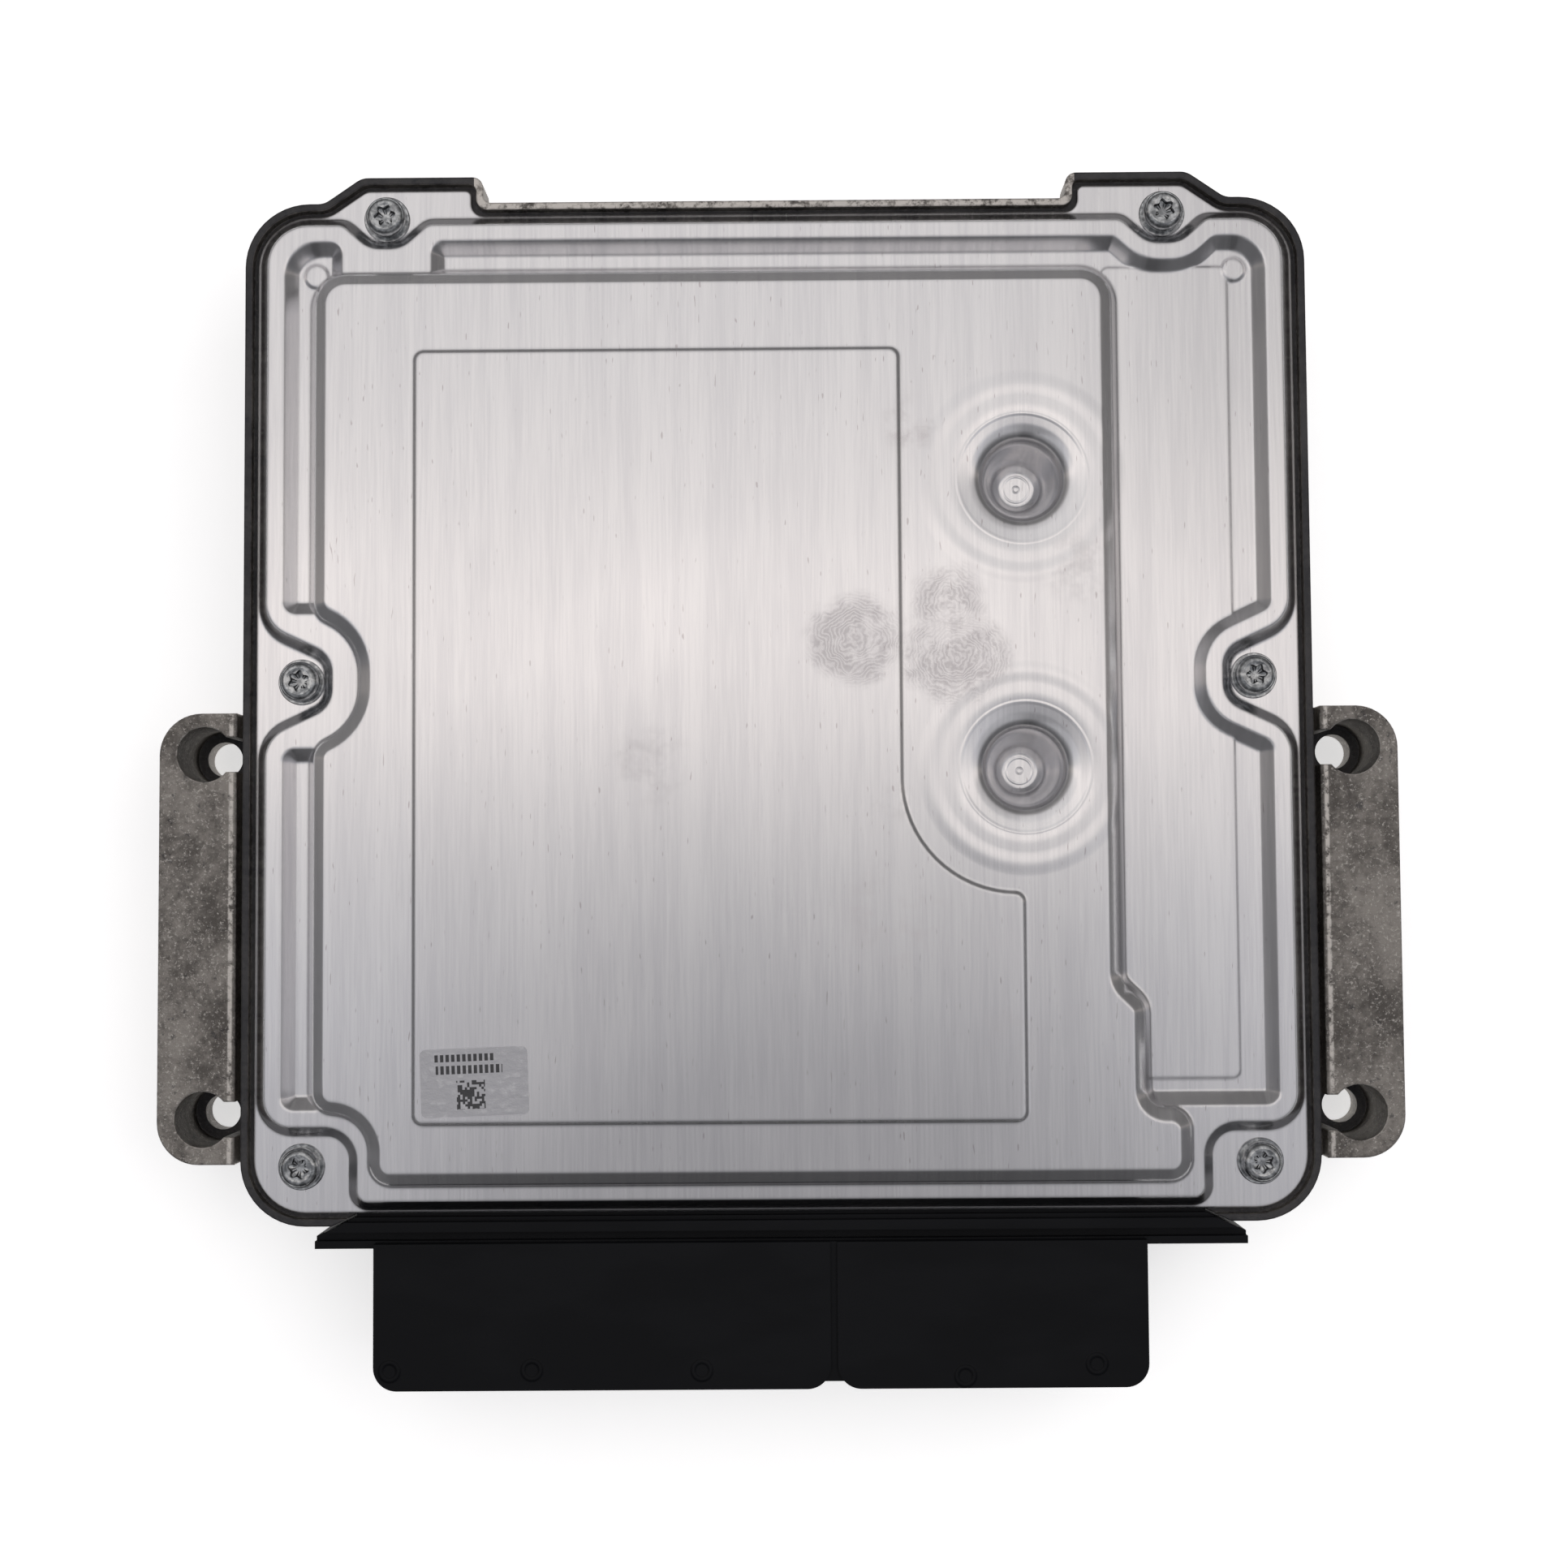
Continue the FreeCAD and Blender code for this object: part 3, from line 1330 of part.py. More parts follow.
os.makedirs("parts", exist_ok=True)
for item in pieces:
    item.Shape.exportStep(f"parts/{item.Label}.step")
    print(item.Label, len(item.Shape.Solids), round(item.Shape.Volume, 1))
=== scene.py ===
"""Engine control unit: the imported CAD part, dressed and lit as in its photograph.

The CAD nodes give every shape and place. Here the shown ones are copied with merged, smooth
faces and get their finishes, with the small things that CAD leaves plain: the soft mouths of the
dimples, the screw heads, the moulding marks of the header and the print of the label. Metres, the
row frame, Z up.
"""

from __future__ import annotations

import json
import logging
import math
from dataclasses import dataclass
from enum import Enum
from typing import Any

import bpy
from mathutils import Euler, Matrix, Vector

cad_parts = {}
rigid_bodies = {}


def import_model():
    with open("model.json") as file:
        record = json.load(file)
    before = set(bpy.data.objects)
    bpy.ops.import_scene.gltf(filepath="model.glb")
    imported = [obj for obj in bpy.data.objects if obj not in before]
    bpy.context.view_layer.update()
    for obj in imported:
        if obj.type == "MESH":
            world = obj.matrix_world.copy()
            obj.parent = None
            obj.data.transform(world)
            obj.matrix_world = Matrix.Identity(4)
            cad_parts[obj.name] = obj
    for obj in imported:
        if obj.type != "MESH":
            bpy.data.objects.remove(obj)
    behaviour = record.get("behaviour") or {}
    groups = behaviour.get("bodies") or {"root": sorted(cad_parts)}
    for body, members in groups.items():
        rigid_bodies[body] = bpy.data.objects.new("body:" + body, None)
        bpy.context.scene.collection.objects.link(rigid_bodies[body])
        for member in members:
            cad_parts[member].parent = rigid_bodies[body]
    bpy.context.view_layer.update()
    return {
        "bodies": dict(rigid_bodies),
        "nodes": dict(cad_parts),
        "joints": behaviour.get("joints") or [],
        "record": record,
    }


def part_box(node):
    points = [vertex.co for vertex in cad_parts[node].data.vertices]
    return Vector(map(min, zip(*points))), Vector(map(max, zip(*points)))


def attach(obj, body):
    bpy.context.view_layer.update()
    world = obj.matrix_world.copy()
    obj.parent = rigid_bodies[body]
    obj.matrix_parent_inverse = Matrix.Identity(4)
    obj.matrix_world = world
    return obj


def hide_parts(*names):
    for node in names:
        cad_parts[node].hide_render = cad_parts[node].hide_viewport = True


LOG = logging.getLogger("engine_control_unit")
Pair = tuple[float, float]
Triple = tuple[float, float, float]
MM = 0.001


def linear(hex_colour: str) -> tuple[float, float, float, float]:
    """Turn an sRGB hex colour into the linear colour that Blender's sockets hold.

    Args:
        hex_colour: Six hex digits, as "#D9D7D8".

    Returns:
        Red, green, blue and alpha.
    """
    digits = hex_colour.lstrip("#")
    values = [int(digits[place:place + 2], 16) / 255 for place in (0, 2, 4)]
    bent = [v / 12.92 if v <= 0.04045 else ((v + 0.055) / 1.055) ** 2.4 for v in values]
    return bent[0], bent[1], bent[2], 1.0


class Kind(Enum):
    """The nodes used here: Blender's type, and the property that is set with its value."""

    ABSOLUTE = ("ShaderNodeMath", "operation", "ABSOLUTE")
    ADD = ("ShaderNodeMath", "operation", "ADD")
    COMPARE = ("ShaderNodeMath", "operation", "COMPARE")
    FRACT = ("ShaderNodeMath", "operation", "FRACT")
    GREATER_THAN = ("ShaderNodeMath", "operation", "GREATER_THAN")
    LESS_THAN = ("ShaderNodeMath", "operation", "LESS_THAN")
    MAXIMUM = ("ShaderNodeMath", "operation", "MAXIMUM")
    MULTIPLY = ("ShaderNodeMath", "operation", "MULTIPLY")
    MULTIPLY_ADD = ("ShaderNodeMath", "operation", "MULTIPLY_ADD")
    SINE = ("ShaderNodeMath", "operation", "SINE")
    SUBTRACT = ("ShaderNodeMath", "operation", "SUBTRACT")
    CLAMP = ("ShaderNodeClamp", "clamp_type", "MINMAX")
    RAMP = ("ShaderNodeMapRange", "interpolation_type", "SMOOTHSTEP")
    BLEND = ("ShaderNodeMix", "data_type", "RGBA")
    TONES = ("ShaderNodeValToRGB",)
    DOT_PRODUCT = ("ShaderNodeVectorMath", "operation", "DOT_PRODUCT")
    LENGTH = ("ShaderNodeVectorMath", "operation", "LENGTH")
    SNAP = ("ShaderNodeVectorMath", "operation", "SNAP")
    SCALED = ("ShaderNodeMapping", "vector_type", "POINT")
    PLACED = ("ShaderNodeMapping", "vector_type", "TEXTURE")
    SPLIT = ("ShaderNodeSeparateXYZ",)
    COORDINATES = ("ShaderNodeTexCoord",)
    SURFACE = ("ShaderNodeNewGeometry",)
    LIGHT_PATH = ("ShaderNodeLightPath",)
    NOISE = ("ShaderNodeTexNoise",)
    WHITE_NOISE = ("ShaderNodeTexWhiteNoise", "noise_dimensions", "2D")
    ROUNDED = ("ShaderNodeBevel", "samples", 8)
    BUMP = ("ShaderNodeBump",)
    PRINCIPLED = ("ShaderNodeBsdfPrincipled",)
    DIFFUSE = ("ShaderNodeBsdfDiffuse",)
    EMISSION = ("ShaderNodeEmission",)
    BACKGROUND = ("ShaderNodeBackground",)
    EITHER_SHADER = ("ShaderNodeMixShader",)
    BOTH_SHADERS = ("ShaderNodeAddShader",)
    MATERIAL_OUTPUT = ("ShaderNodeOutputMaterial",)
    WORLD_OUTPUT = ("ShaderNodeOutputWorld",)


def add_node(tree: bpy.types.NodeTree, kind: Kind, *terms: Any, **inputs: Any) -> Any:
    """Add a node with its setting, and fill or link its inputs.

    Args:
        tree: The node tree.
        kind: What the node is.
        terms: Values or sockets for the inputs in use, in their order.
        inputs: The same by the input's name, with spaces written as _.

    Returns:
        The node's first output in use, or None where it has none.
    """
    node_type, *setting = kind.value
    node = tree.nodes.new(node_type)
    if setting:
        setattr(node, *setting)
    wanted = list(zip([socket for socket in node.inputs if socket.enabled], terms))
    wanted += [(node.inputs[name.replace("_", " ")], value) for name, value in inputs.items()]
    for socket, value in wanted:
        if isinstance(value, bpy.types.NodeSocket):
            tree.links.new(value, socket)
        else:
            socket.default_value = value
    return next((socket for socket in node.outputs if socket.enabled), None)


def grain(tree: bpy.types.NodeTree, place: Any, size_mm: Triple,
          detail: float = 2.0, roughness: float = 0.5) -> Any:
    """Noise whose grains have a real size along X, Y and Z.

    Args:
        tree: The node tree.
        place: Socket of the object coordinates.
        size_mm: Size of a grain along each axis.
        detail: How many finer layers the noise has.
        roughness: How strong those layers are.

    Returns:
        The noise's value socket.
    """
    scale = tuple(1 / (size * MM) for size in size_mm)
    mapped = add_node(tree, Kind.SCALED, Vector=place, Scale=scale)
    return add_node(tree, Kind.NOISE, Vector=mapped, Scale=1.0, Detail=detail, Roughness=roughness)


def distance_from(tree: bpy.types.NodeTree, place: Any, x_mm: float, y_mm: float,
                  stretch: float = 1.0) -> Any:
    """Distance in millimetres from an upright axis.

    Args:
        tree: The node tree.
        place: Socket of the object coordinates.
        x_mm: The axis's X.
        y_mm: The axis's Y.
        stretch: How many times longer than wide the rings are along Y.

    Returns:
        The distance's socket.
    """
    local = add_node(tree, Kind.SCALED, Vector=place, Location=(-x_mm, -y_mm / stretch, 0),
                     Scale=(1 / MM, 1 / MM / stretch, 0))
    return add_node(tree, Kind.LENGTH, local)


class NewMaterial:
    """An empty node material with its output, shader and object coordinates."""

    def __init__(self, name: str) -> None:
        """Make the material.

        Args:
            name: The material's name.
        """
        self.material = bpy.data.materials.new(name)
        self.material.use_nodes = True
        self.tree = self.material.node_tree
        self.tree.nodes.clear()
        self.place = add_node(self.tree, Kind.COORDINATES).node.outputs["Object"]

    def finish(self, **inputs: Any) -> bpy.types.Material:
        """Add the shader and the output.

        Args:
            inputs: Inputs of the Principled shader.

        Returns:
            The finished material.
        """
        shader = add_node(self.tree, Kind.PRINCIPLED, **inputs)
        add_node(self.tree, Kind.MATERIAL_OUTPUT, Surface=shader)
        return self.material


@dataclass(frozen=True)
class Smudge:
    """A touched place on the cover: its middle and reach in millimetres, and its strength."""

    x: float
    y: float
    reach: float
    strength: float


@dataclass(frozen=True)
class Fingerprint:
    """A fingerprint on the cover: its middle, reach and length over width."""

    x: float
    y: float
    reach: float
    stretch: float


@dataclass(frozen=True)
class RolledSheet:
    """Mill-finish aluminium sheet, 1.2 mm, pressed: fine rolling streaks along Y, a satin gleam
    that follows the beads, shallow rings round the deep dimples, and the marks of hands."""

    light: str = "#DEDDDE"
    dark: str = "#D4D3D5"
    mark: str = "#A2999A"
    roughness: float = 0.21
    press_radius: float = 0.8
    # Each _range holds the noise values at which a pattern starts and is full
    tone_range: Pair = (0.36, 0.68)
    # Shares of the fine and the broad streaks in the tone
    tone_mix: Pair = (0.55, 0.5)
    # Broad change of the gleam along the sheet, and how much rougher it gets
    gleam_mm: Triple = (26.0, 34.0, 30.0)
    gleam_swing: float = 0.10
    # Real rolling streaks are under 0.1 mm wide; they are drawn wider, to show at all
    streak_mm: Triple = (0.45, 14.0, 4.0)
    broad_streak_mm: Triple = (2.6, 90.0, 20.0)
    streak_depth: float = 0.004
    pit_mm: Triple = (0.32, 2.2, 0.32)
    pit_range: Pair = (0.80, 0.86)
    pit_share: float = 0.5
    # Broad unevenness of the flat sheet, and how deep it is
    dishing_mm: Triple = (38.0, 46.0, 40.0)
    dishing_depth: float = 0.16
    ring_centres: tuple[Pair, ...] = ()
    # Radius, half width and strength of each ring about a dimple
    rings_mm: tuple[Triple, ...] = (
        (16.7, 2.2, 0.8), (11.3, 0.5, 0.5), (2.3, 0.3, 0.6), (0.55, 0.22, 1.0))
    ring_depth: float = 0.06
    # Size of what makes a print ragged, and of what makes all marks uneven
    ragged_mm: Triple = (3.5, 3.5, 3.5)
    uneven_mm: Triple = (5.0, 5.0, 5.0)
    uneven_range: Pair = (0.36, 0.6)
    faintest_share: float = 0.35
    smudge_range: Pair = (0.42, 0.72)
    # Ridges 0.5 mm apart on a real finger are drawn wider, to show at all
    ridge_pitch: float = 0.75
    ridge_wander: float = 5.5
    ridge_tones: Pair = (0.55, 0.2)
    # Where a print starts and ends to fade, inwards from its reach
    print_fade: Pair = (5.4, 1.0)
    print_ragged: float = 4.0
    smudge_core: float = 0.3
    mark_share: float = 0.55
    mark_haze: float = 0.16
    prints: tuple[Fingerprint, ...] = (
        Fingerprint(13.6, 11.6, 9.2, 0.9), Fingerprint(29.6, 17.6, 6.6, 1.1),
        Fingerprint(31.0, 8.4, 9.8, 0.9))
    smudges: tuple[Smudge, ...] = (
        Smudge(24.0, 49.0, 7.0, 0.5), Smudge(-22.0, -10.3, 9.0, 0.3),
        Smudge(20.0, -36.0, 12.0, 0.35), Smudge(52.0, 24.0, 9.0, 0.3),
        Smudge(38.0, -57.0, 8.0, 0.25), Smudge(19.5, -16.0, 6.0, 0.25))

    def handled(self, new: NewMaterial) -> Any:
        """Where hands have dulled the sheet.

        Args:
            new: The material in the making.

        Returns:
            Socket that is 1 in the ridges of a print and 0 on clean metal.
        """
        tree, total = new.tree, 0.0
        ragged = grain(tree, new.place, self.ragged_mm, 3.0)
        cloud = grain(tree, new.place, self.uneven_mm, 4.0, 0.65)
        uneven = add_node(tree, Kind.RAMP, cloud, *self.uneven_range, self.faintest_share, 1.0)
        for mark in self.prints:
            reach = distance_from(tree, new.place, mark.x, mark.y, mark.stretch)
            bent = add_node(tree, Kind.MULTIPLY_ADD, ragged, self.ridge_wander, reach)
            wave = add_node(tree, Kind.MULTIPLY, bent, math.tau / self.ridge_pitch)
            wave = add_node(tree, Kind.SINE, wave)
            middle, swing = self.ridge_tones
            ridge = add_node(tree, Kind.MULTIPLY_ADD, wave, swing, middle)
            edge = add_node(tree, Kind.MULTIPLY_ADD, ragged, -self.print_ragged, reach)
            patch = add_node(tree, Kind.RAMP, edge,
                             *(mark.reach - fade for fade in self.print_fade), 1.0, 0.0)
            patch = add_node(tree, Kind.MULTIPLY, patch, uneven)
            printed = add_node(tree, Kind.MULTIPLY, ridge, patch)
            total = add_node(tree, Kind.MAXIMUM, total, printed)
        for mark in self.smudges:
            reach = distance_from(tree, new.place, mark.x, mark.y)
            patch = add_node(tree, Kind.RAMP, reach, mark.reach * self.smudge_core, mark.reach,
                             1.0, 0.0)
            patchy = add_node(tree, Kind.RAMP, cloud, *self.smudge_range, 0.0, mark.strength)
            total = add_node(tree, Kind.MULTIPLY_ADD, patch, patchy, total)
        return add_node(tree, Kind.CLAMP, total)

    def material(self) -> bpy.types.Material:
        """Build the material.

        Returns:
            The material.
        """
        new = NewMaterial("rolled_aluminium_sheet")
        tree, place = new.tree, new.place
        fine = grain(tree, place, self.streak_mm, 3.0, 0.6)
        broad = grain(tree, place, self.broad_streak_mm, 2.0)
        gleam = grain(tree, place, self.gleam_mm, 3.0)
        fine_share, broad_share = self.tone_mix
        tone = add_node(tree, Kind.MULTIPLY, broad, broad_share)
        tone = add_node(tree, Kind.MULTIPLY_ADD, fine, fine_share, tone)
        colour = add_node(tree, Kind.BLEND, add_node(tree, Kind.RAMP, tone, *self.tone_range),
                          linear(self.dark), linear(self.light))
        pit = add_node(tree, Kind.RAMP, grain(tree, place, self.pit_mm, 0.0), *self.pit_range)
        hands = self.handled(new)
        for spot, share in ((pit, self.pit_share), (hands, self.mark_share)):
            colour = add_node(tree, Kind.BLEND, add_node(tree, Kind.MULTIPLY, spot, share), colour,
                              linear(self.mark))
        rough = add_node(tree, Kind.MULTIPLY_ADD, gleam, self.gleam_swing,
                         self.roughness - self.gleam_swing / 2)
        rough = add_node(tree, Kind.MULTIPLY_ADD, hands, self.mark_haze, rough)
        rings = 0.0
        for x, y in self.ring_centres:
            reach = distance_from(tree, place, x, y)
            for radius, half, strength in self.rings_mm:
                off = add_node(tree, Kind.ABSOLUTE, add_node(tree, Kind.SUBTRACT, reach, radius))
                ring = add_node(tree, Kind.RAMP, off, 0.0, half, strength, 0.0)
                rings = add_node(tree, Kind.ADD, rings, ring)
        normal = add_node(tree, Kind.ROUNDED, Radius=self.press_radius * MM)
        dishing = grain(tree, place, self.dishing_mm, 1.0)
        for height, depth in ((rings, self.ring_depth), (dishing, self.dishing_depth),
                              (fine, self.streak_depth)):
            normal = add_node(tree, Kind.BUMP, Height=height, Distance=depth * MM, Normal=normal)
        return new.finish(Base_Color=colour, Metallic=1.0, Roughness=rough, Normal=normal)


@dataclass(frozen=True)
class CastAluminium:
    """Pressure die-cast aluminium, shot blasted: a grey, mottled, rough skin that is rubbed
    bright along its edges, with painted glints, worn colour and a painted highlight on the
    straight rear rim, and painted shade on the rest of the rim, the ledge, the pocket floors and
    the corners beside the ears."""

    skin: str = "#A29D97"
    shade: str = "#65615D"
    # Worn colour of rubbed edges, also used for the painted highlight on the rear rim and for
    # painted glints
    worn_and_highlight: str = "#D8D3CD"
    # Colour of the chips, also used for painted shade
    chip_and_shade: str = "#3B3C40"
    metallic: float = 0.85
    tone_range: Pair = (0.38, 0.62)
    # Shares of the flow marks and the mottle in the tone
    tone_mix: Pair = (0.6, 0.4)
    # Where the skin is smoothest, with what the mottle adds and what the worn and highlighted
    # places take off
    roughness: float = 0.4
    mottle_haze: float = 0.22
    polish: float = 0.14
    mottle_mm: Triple = (1.5, 1.5, 1.5)
    mottle_depth: float = 0.16
    # Real blasting marks are about 0.2 mm wide; they are drawn wider, to show at all
    blast_mm: Triple = (0.5, 0.5, 0.5)
    blast_depth: float = 0.08
    flow_mm: Triple = (9.0, 16.0, 9.0)
    chip_mm: Triple = (2.6, 2.6, 2.6)
    chip_range: Pair = (0.60, 0.66)
    chip_share: float = 0.55
    worn_and_lit_range: Pair = (0.36, 0.56)
    glint_range: Pair = (0.54, 0.68)
    glint_share: float = 0.75
    # Strength of the painted shade
    shade_share: float = 0.85
    # How much less worn colour and painted glint the rest of the rim gets, where shade is painted
    shaded_rim_loss: float = 0.7
    edge_mm: float = 0.5
    # Cosine between the rounded and the true normal: fully rubbed, and not rubbed
    edge_bend: Pair = (0.80, 0.985)
    # A normal whose Z is over this belongs to a face that lies flat
    lies_flat: float = 0.7
    rim_top: float = 27.5
    rim_depth: float = 0.8
    # Half width and start along Y of the straight rear rim, which gets worn colour and a painted
    # highlight
    bright_rim: Pair = (53.0, 80.0)
    # Distance from the middle at which the ears' flat tops begin
    ear_top_starts: float = 96.9
    # The rubbed ridge there is full within the first half width and gone past the second
    ridge_half: Pair = (0.2, 0.55)
    # How far before it the painted shade in the corner starts and ends to fade
    corner_fade: Pair = (1.2, 0.4)
    corner_share: float = 0.8
    wall_starts: float = 80.0
    # Heights of the ledge under the cover's edge and of the pocket floors, which get painted shade
    ledge: float = 25.5
    pocket_floor: float = 7.0

    def level(self, tree: bpy.types.NodeTree, height: Any, at_mm: float) -> Any:
        """Tell whether a place lies within half a millimetre of a height.

        Args:
            tree: The node tree.
            height: Socket of the height in metres.
            at_mm: The height that is looked for.

        Returns:
            Socket that is 1 there and 0 elsewhere.
        """
        return add_node(tree, Kind.COMPARE, height, at_mm * MM, 0.5 * MM)

    def wear(self, new: NewMaterial, rounding: Any) -> tuple[Any, Any, Any]:
        """Find the places of wear, of painted highlight and of painted shade.

        Args:
            new: The material in the making.
            rounding: The normal with rounded edges.

        Returns:
            Sockets that are 1 where the casting gets its worn colour and painted highlight, where
            shade is painted on its rim, and where painted shade darkens it.
        """
        tree = new.tree
        true_normal = add_node(tree, Kind.SURFACE).node.outputs["Normal"]
        bend = add_node(tree, Kind.DOT_PRODUCT, rounding, true_normal)
        edge = add_node(tree, Kind.RAMP, bend, *self.edge_bend, 1.0, 0.0)
        spot = add_node(tree, Kind.SPLIT, new.place).node.outputs
        aside, height = add_node(tree, Kind.ABSOLUTE, spot[0]), spot[2]
        upward = add_node(tree, Kind.SPLIT, true_normal).node.outputs[2]
        faces_up = add_node(tree, Kind.GREATER_THAN, upward, self.lies_flat)
        # Worn colour and a painted highlight on the straight rear rim; shade is painted on the
        # rest of the rim
        half_width, starts = self.bright_rim
        within = add_node(tree, Kind.LESS_THAN, aside, half_width * MM)
        behind = add_node(tree, Kind.GREATER_THAN, spot[1], starts * MM)
        rear = add_node(tree, Kind.MULTIPLY, within, behind)
        high = add_node(tree, Kind.GREATER_THAN, height, (self.rim_top - self.rim_depth) * MM)
        shaded_rim = add_node(tree, Kind.MULTIPLY, high, add_node(tree, Kind.SUBTRACT, 1.0, rear))
        unshaded_share = add_node(tree, Kind.MULTIPLY_ADD, shaded_rim, -self.shaded_rim_loss, 1.0)
        edge = add_node(tree, Kind.MULTIPLY, edge, unshaded_share)
        # A thin rubbed ridge runs where the ears' flat tops begin, beside a corner where shade is
        # painted
        off = add_node(tree, Kind.SUBTRACT, aside, self.ear_top_starts * MM)
        near, far = (half * MM for half in self.ridge_half)
        ridge = add_node(tree, Kind.RAMP, add_node(tree, Kind.ABSOLUTE, off), near, far, 1.0, 0.0)
        below_rim = add_node(tree, Kind.SUBTRACT, faces_up, high)
        ridge = add_node(tree, Kind.MULTIPLY, ridge, below_rim)
        rim = add_node(tree, Kind.MULTIPLY, self.level(tree, height, self.rim_top), faces_up)
        worn_and_lit = add_node(tree, Kind.MAXIMUM, add_node(tree, Kind.MAXIMUM, edge, ridge),
                          add_node(tree, Kind.MULTIPLY, rim, rear))
        # Shade is painted on the ledge, the pocket floors and the rest of the rim, and in the
        # corner beside the ears
        low = add_node(tree, Kind.ADD, self.level(tree, height, self.ledge),
                       self.level(tree, height, self.pocket_floor))
        inner, outer = ((self.ear_top_starts - fade) * MM for fade in self.corner_fade)
        beside = add_node(tree, Kind.RAMP, aside, inner, outer, self.corner_share, 0.0)
        past_wall = add_node(tree, Kind.GREATER_THAN, aside, self.wall_starts * MM)
        beside = add_node(tree, Kind.MULTIPLY, beside, past_wall)
        low = add_node(tree, Kind.MAXIMUM, add_node(tree, Kind.ADD, low, shaded_rim), beside)
        return worn_and_lit, shaded_rim, add_node(tree, Kind.MULTIPLY, low, faces_up)

    def material(self) -> bpy.types.Material:
        """Build the material.

        Returns:
            The material.
        """
        new = NewMaterial("die_cast_aluminium")
        tree, place = new.tree, new.place
        mottle = grain(tree, place, self.mottle_mm, 6.0, 0.7)
        blast = grain(tree, place, self.blast_mm, 4.0, 0.7)
        flow = grain(tree, place, self.flow_mm, 4.0, 0.6)
        flow_share, mottle_share = self.tone_mix
        tone = add_node(tree, Kind.MULTIPLY, mottle, mottle_share)
        tone = add_node(tree, Kind.MULTIPLY_ADD, flow, flow_share, tone)
        colour = add_node(tree, Kind.BLEND, add_node(tree, Kind.RAMP, tone, *self.tone_range),
                          linear(self.shade), linear(self.skin))
        # Dark chips where the skin has come off
        chips = grain(tree, place, self.chip_mm, 5.0, 0.7)
        chips = add_node(tree, Kind.RAMP, chips, *self.chip_range)
        colour = add_node(tree, Kind.BLEND, add_node(tree, Kind.MULTIPLY, chips, self.chip_share),
                          colour, linear(self.chip_and_shade))
        rounding = add_node(tree, Kind.ROUNDED, Radius=self.edge_mm * MM)
        worn_and_lit, shaded_rim, shade_mask = self.wear(new, rounding)
        # Worn colour on rubbed edges and the ridge, and painted highlight on the rear rim, broken
        # by the mottle
        worn_and_lit_spots = add_node(tree, Kind.RAMP, mottle, *self.worn_and_lit_range)
        worn_and_lit_spots = add_node(tree, Kind.MULTIPLY, worn_and_lit, worn_and_lit_spots)
        colour = add_node(tree, Kind.BLEND, worn_and_lit_spots, colour, linear(self.worn_and_highlight))
        # Painted glints in the worn colour on the blasting marks, fainter where shade is painted
        # on the rim
        share = add_node(tree, Kind.MULTIPLY_ADD, shaded_rim, -self.shaded_rim_loss, self.glint_share)
        glint = add_node(tree, Kind.RAMP, blast, *self.glint_range)
        glint = add_node(tree, Kind.MULTIPLY, glint, share)
        colour = add_node(tree, Kind.BLEND, glint, colour, linear(self.worn_and_highlight))
        # Painted shade in the colour of the chips
        colour = add_node(tree, Kind.BLEND, add_node(tree, Kind.MULTIPLY, shade_mask, self.shade_share),
                          colour, linear(self.chip_and_shade))
        rough = add_node(tree, Kind.MULTIPLY_ADD, mottle, self.mottle_haze, self.roughness)
        rough = add_node(tree, Kind.MULTIPLY_ADD, worn_and_lit_spots, -self.polish, rough)
        normal = rounding
        for height, depth in ((mottle, self.mottle_depth), (blast, self.blast_depth)):
            normal = add_node(tree, Kind.BUMP, Height=height, Distance=depth * MM, Normal=normal)
        return new.finish(Base_Color=colour, Metallic=self.metallic, Roughness=rough,
                          Normal=normal)


@dataclass(frozen=True)
class MouldedPlastic:
    """Glass-filled PBT from a spark-eroded mould: near black, satin, with a fine grain, and the
    small round marks that the mould's ejector pins leave on top of the shrouds."""

    name: str = "moulded_black_plastic"
    colour: str = "#0D0E11"
    pale: str = "#121316"
    roughness: float = 0.5
    gleam: float = 0.14
    flow_mm: Triple = (22.0, 9.0, 9.0)
    flow_range: Pair = (0.4, 0.65)
    flow_haze: float = 0.12
    # Real spark-eroded grain is under 0.1 mm; it is drawn coarser, to show at all
    grain_mm: float = 0.35
    grain_depth: float = 0.012
    ejector_radius: float = 1.5
    ejector_edge: Pair = (0.1, 0.6)
    ejector_depth: float = 0.22
    ejector_marks: tuple[Pair, ...] = (
        (-66.9, -113.1), (-42.6, -113.0), (-13.6, -113.2), (31.3, -114.4), (53.7, -112.5))

    def material(self) -> bpy.types.Material:
        """Build the material.

        Returns:
            The material.
        """
        new = NewMaterial(self.name)
        tree, place = new.tree, new.place
        skin = grain(tree, place, (self.grain_mm,) * 3, 2.0)
        flow = grain(tree, place, self.flow_mm, 3.0)
        colour = add_node(tree, Kind.BLEND, add_node(tree, Kind.RAMP, flow, *self.flow_range),
                          linear(self.colour), linear(self.pale))
        rough = add_node(tree, Kind.MULTIPLY_ADD, flow, self.flow_haze,
                         self.roughness - self.flow_haze / 2)
        circles = 0.0
        for x, y in self.ejector_marks:
            reach = distance_from(tree, place, x, y)
            off = add_node(tree, Kind.SUBTRACT, reach, self.ejector_radius)
            off = add_node(tree, Kind.ABSOLUTE, off)
            circle = add_node(tree, Kind.RAMP, off, *self.ejector_edge, 1.0, 0.0)
            circles = add_node(tree, Kind.ADD, circles, circle)
        normal = add_node(tree, Kind.BUMP, Height=circles, Distance=self.ejector_depth * MM)
        normal = add_node(tree, Kind.BUMP, Height=skin, Distance=self.grain_depth * MM,
                          Normal=normal)
        return new.finish(Base_Color=colour, Roughness=rough, Normal=normal,
                          Specular_IOR_Level=self.gleam)


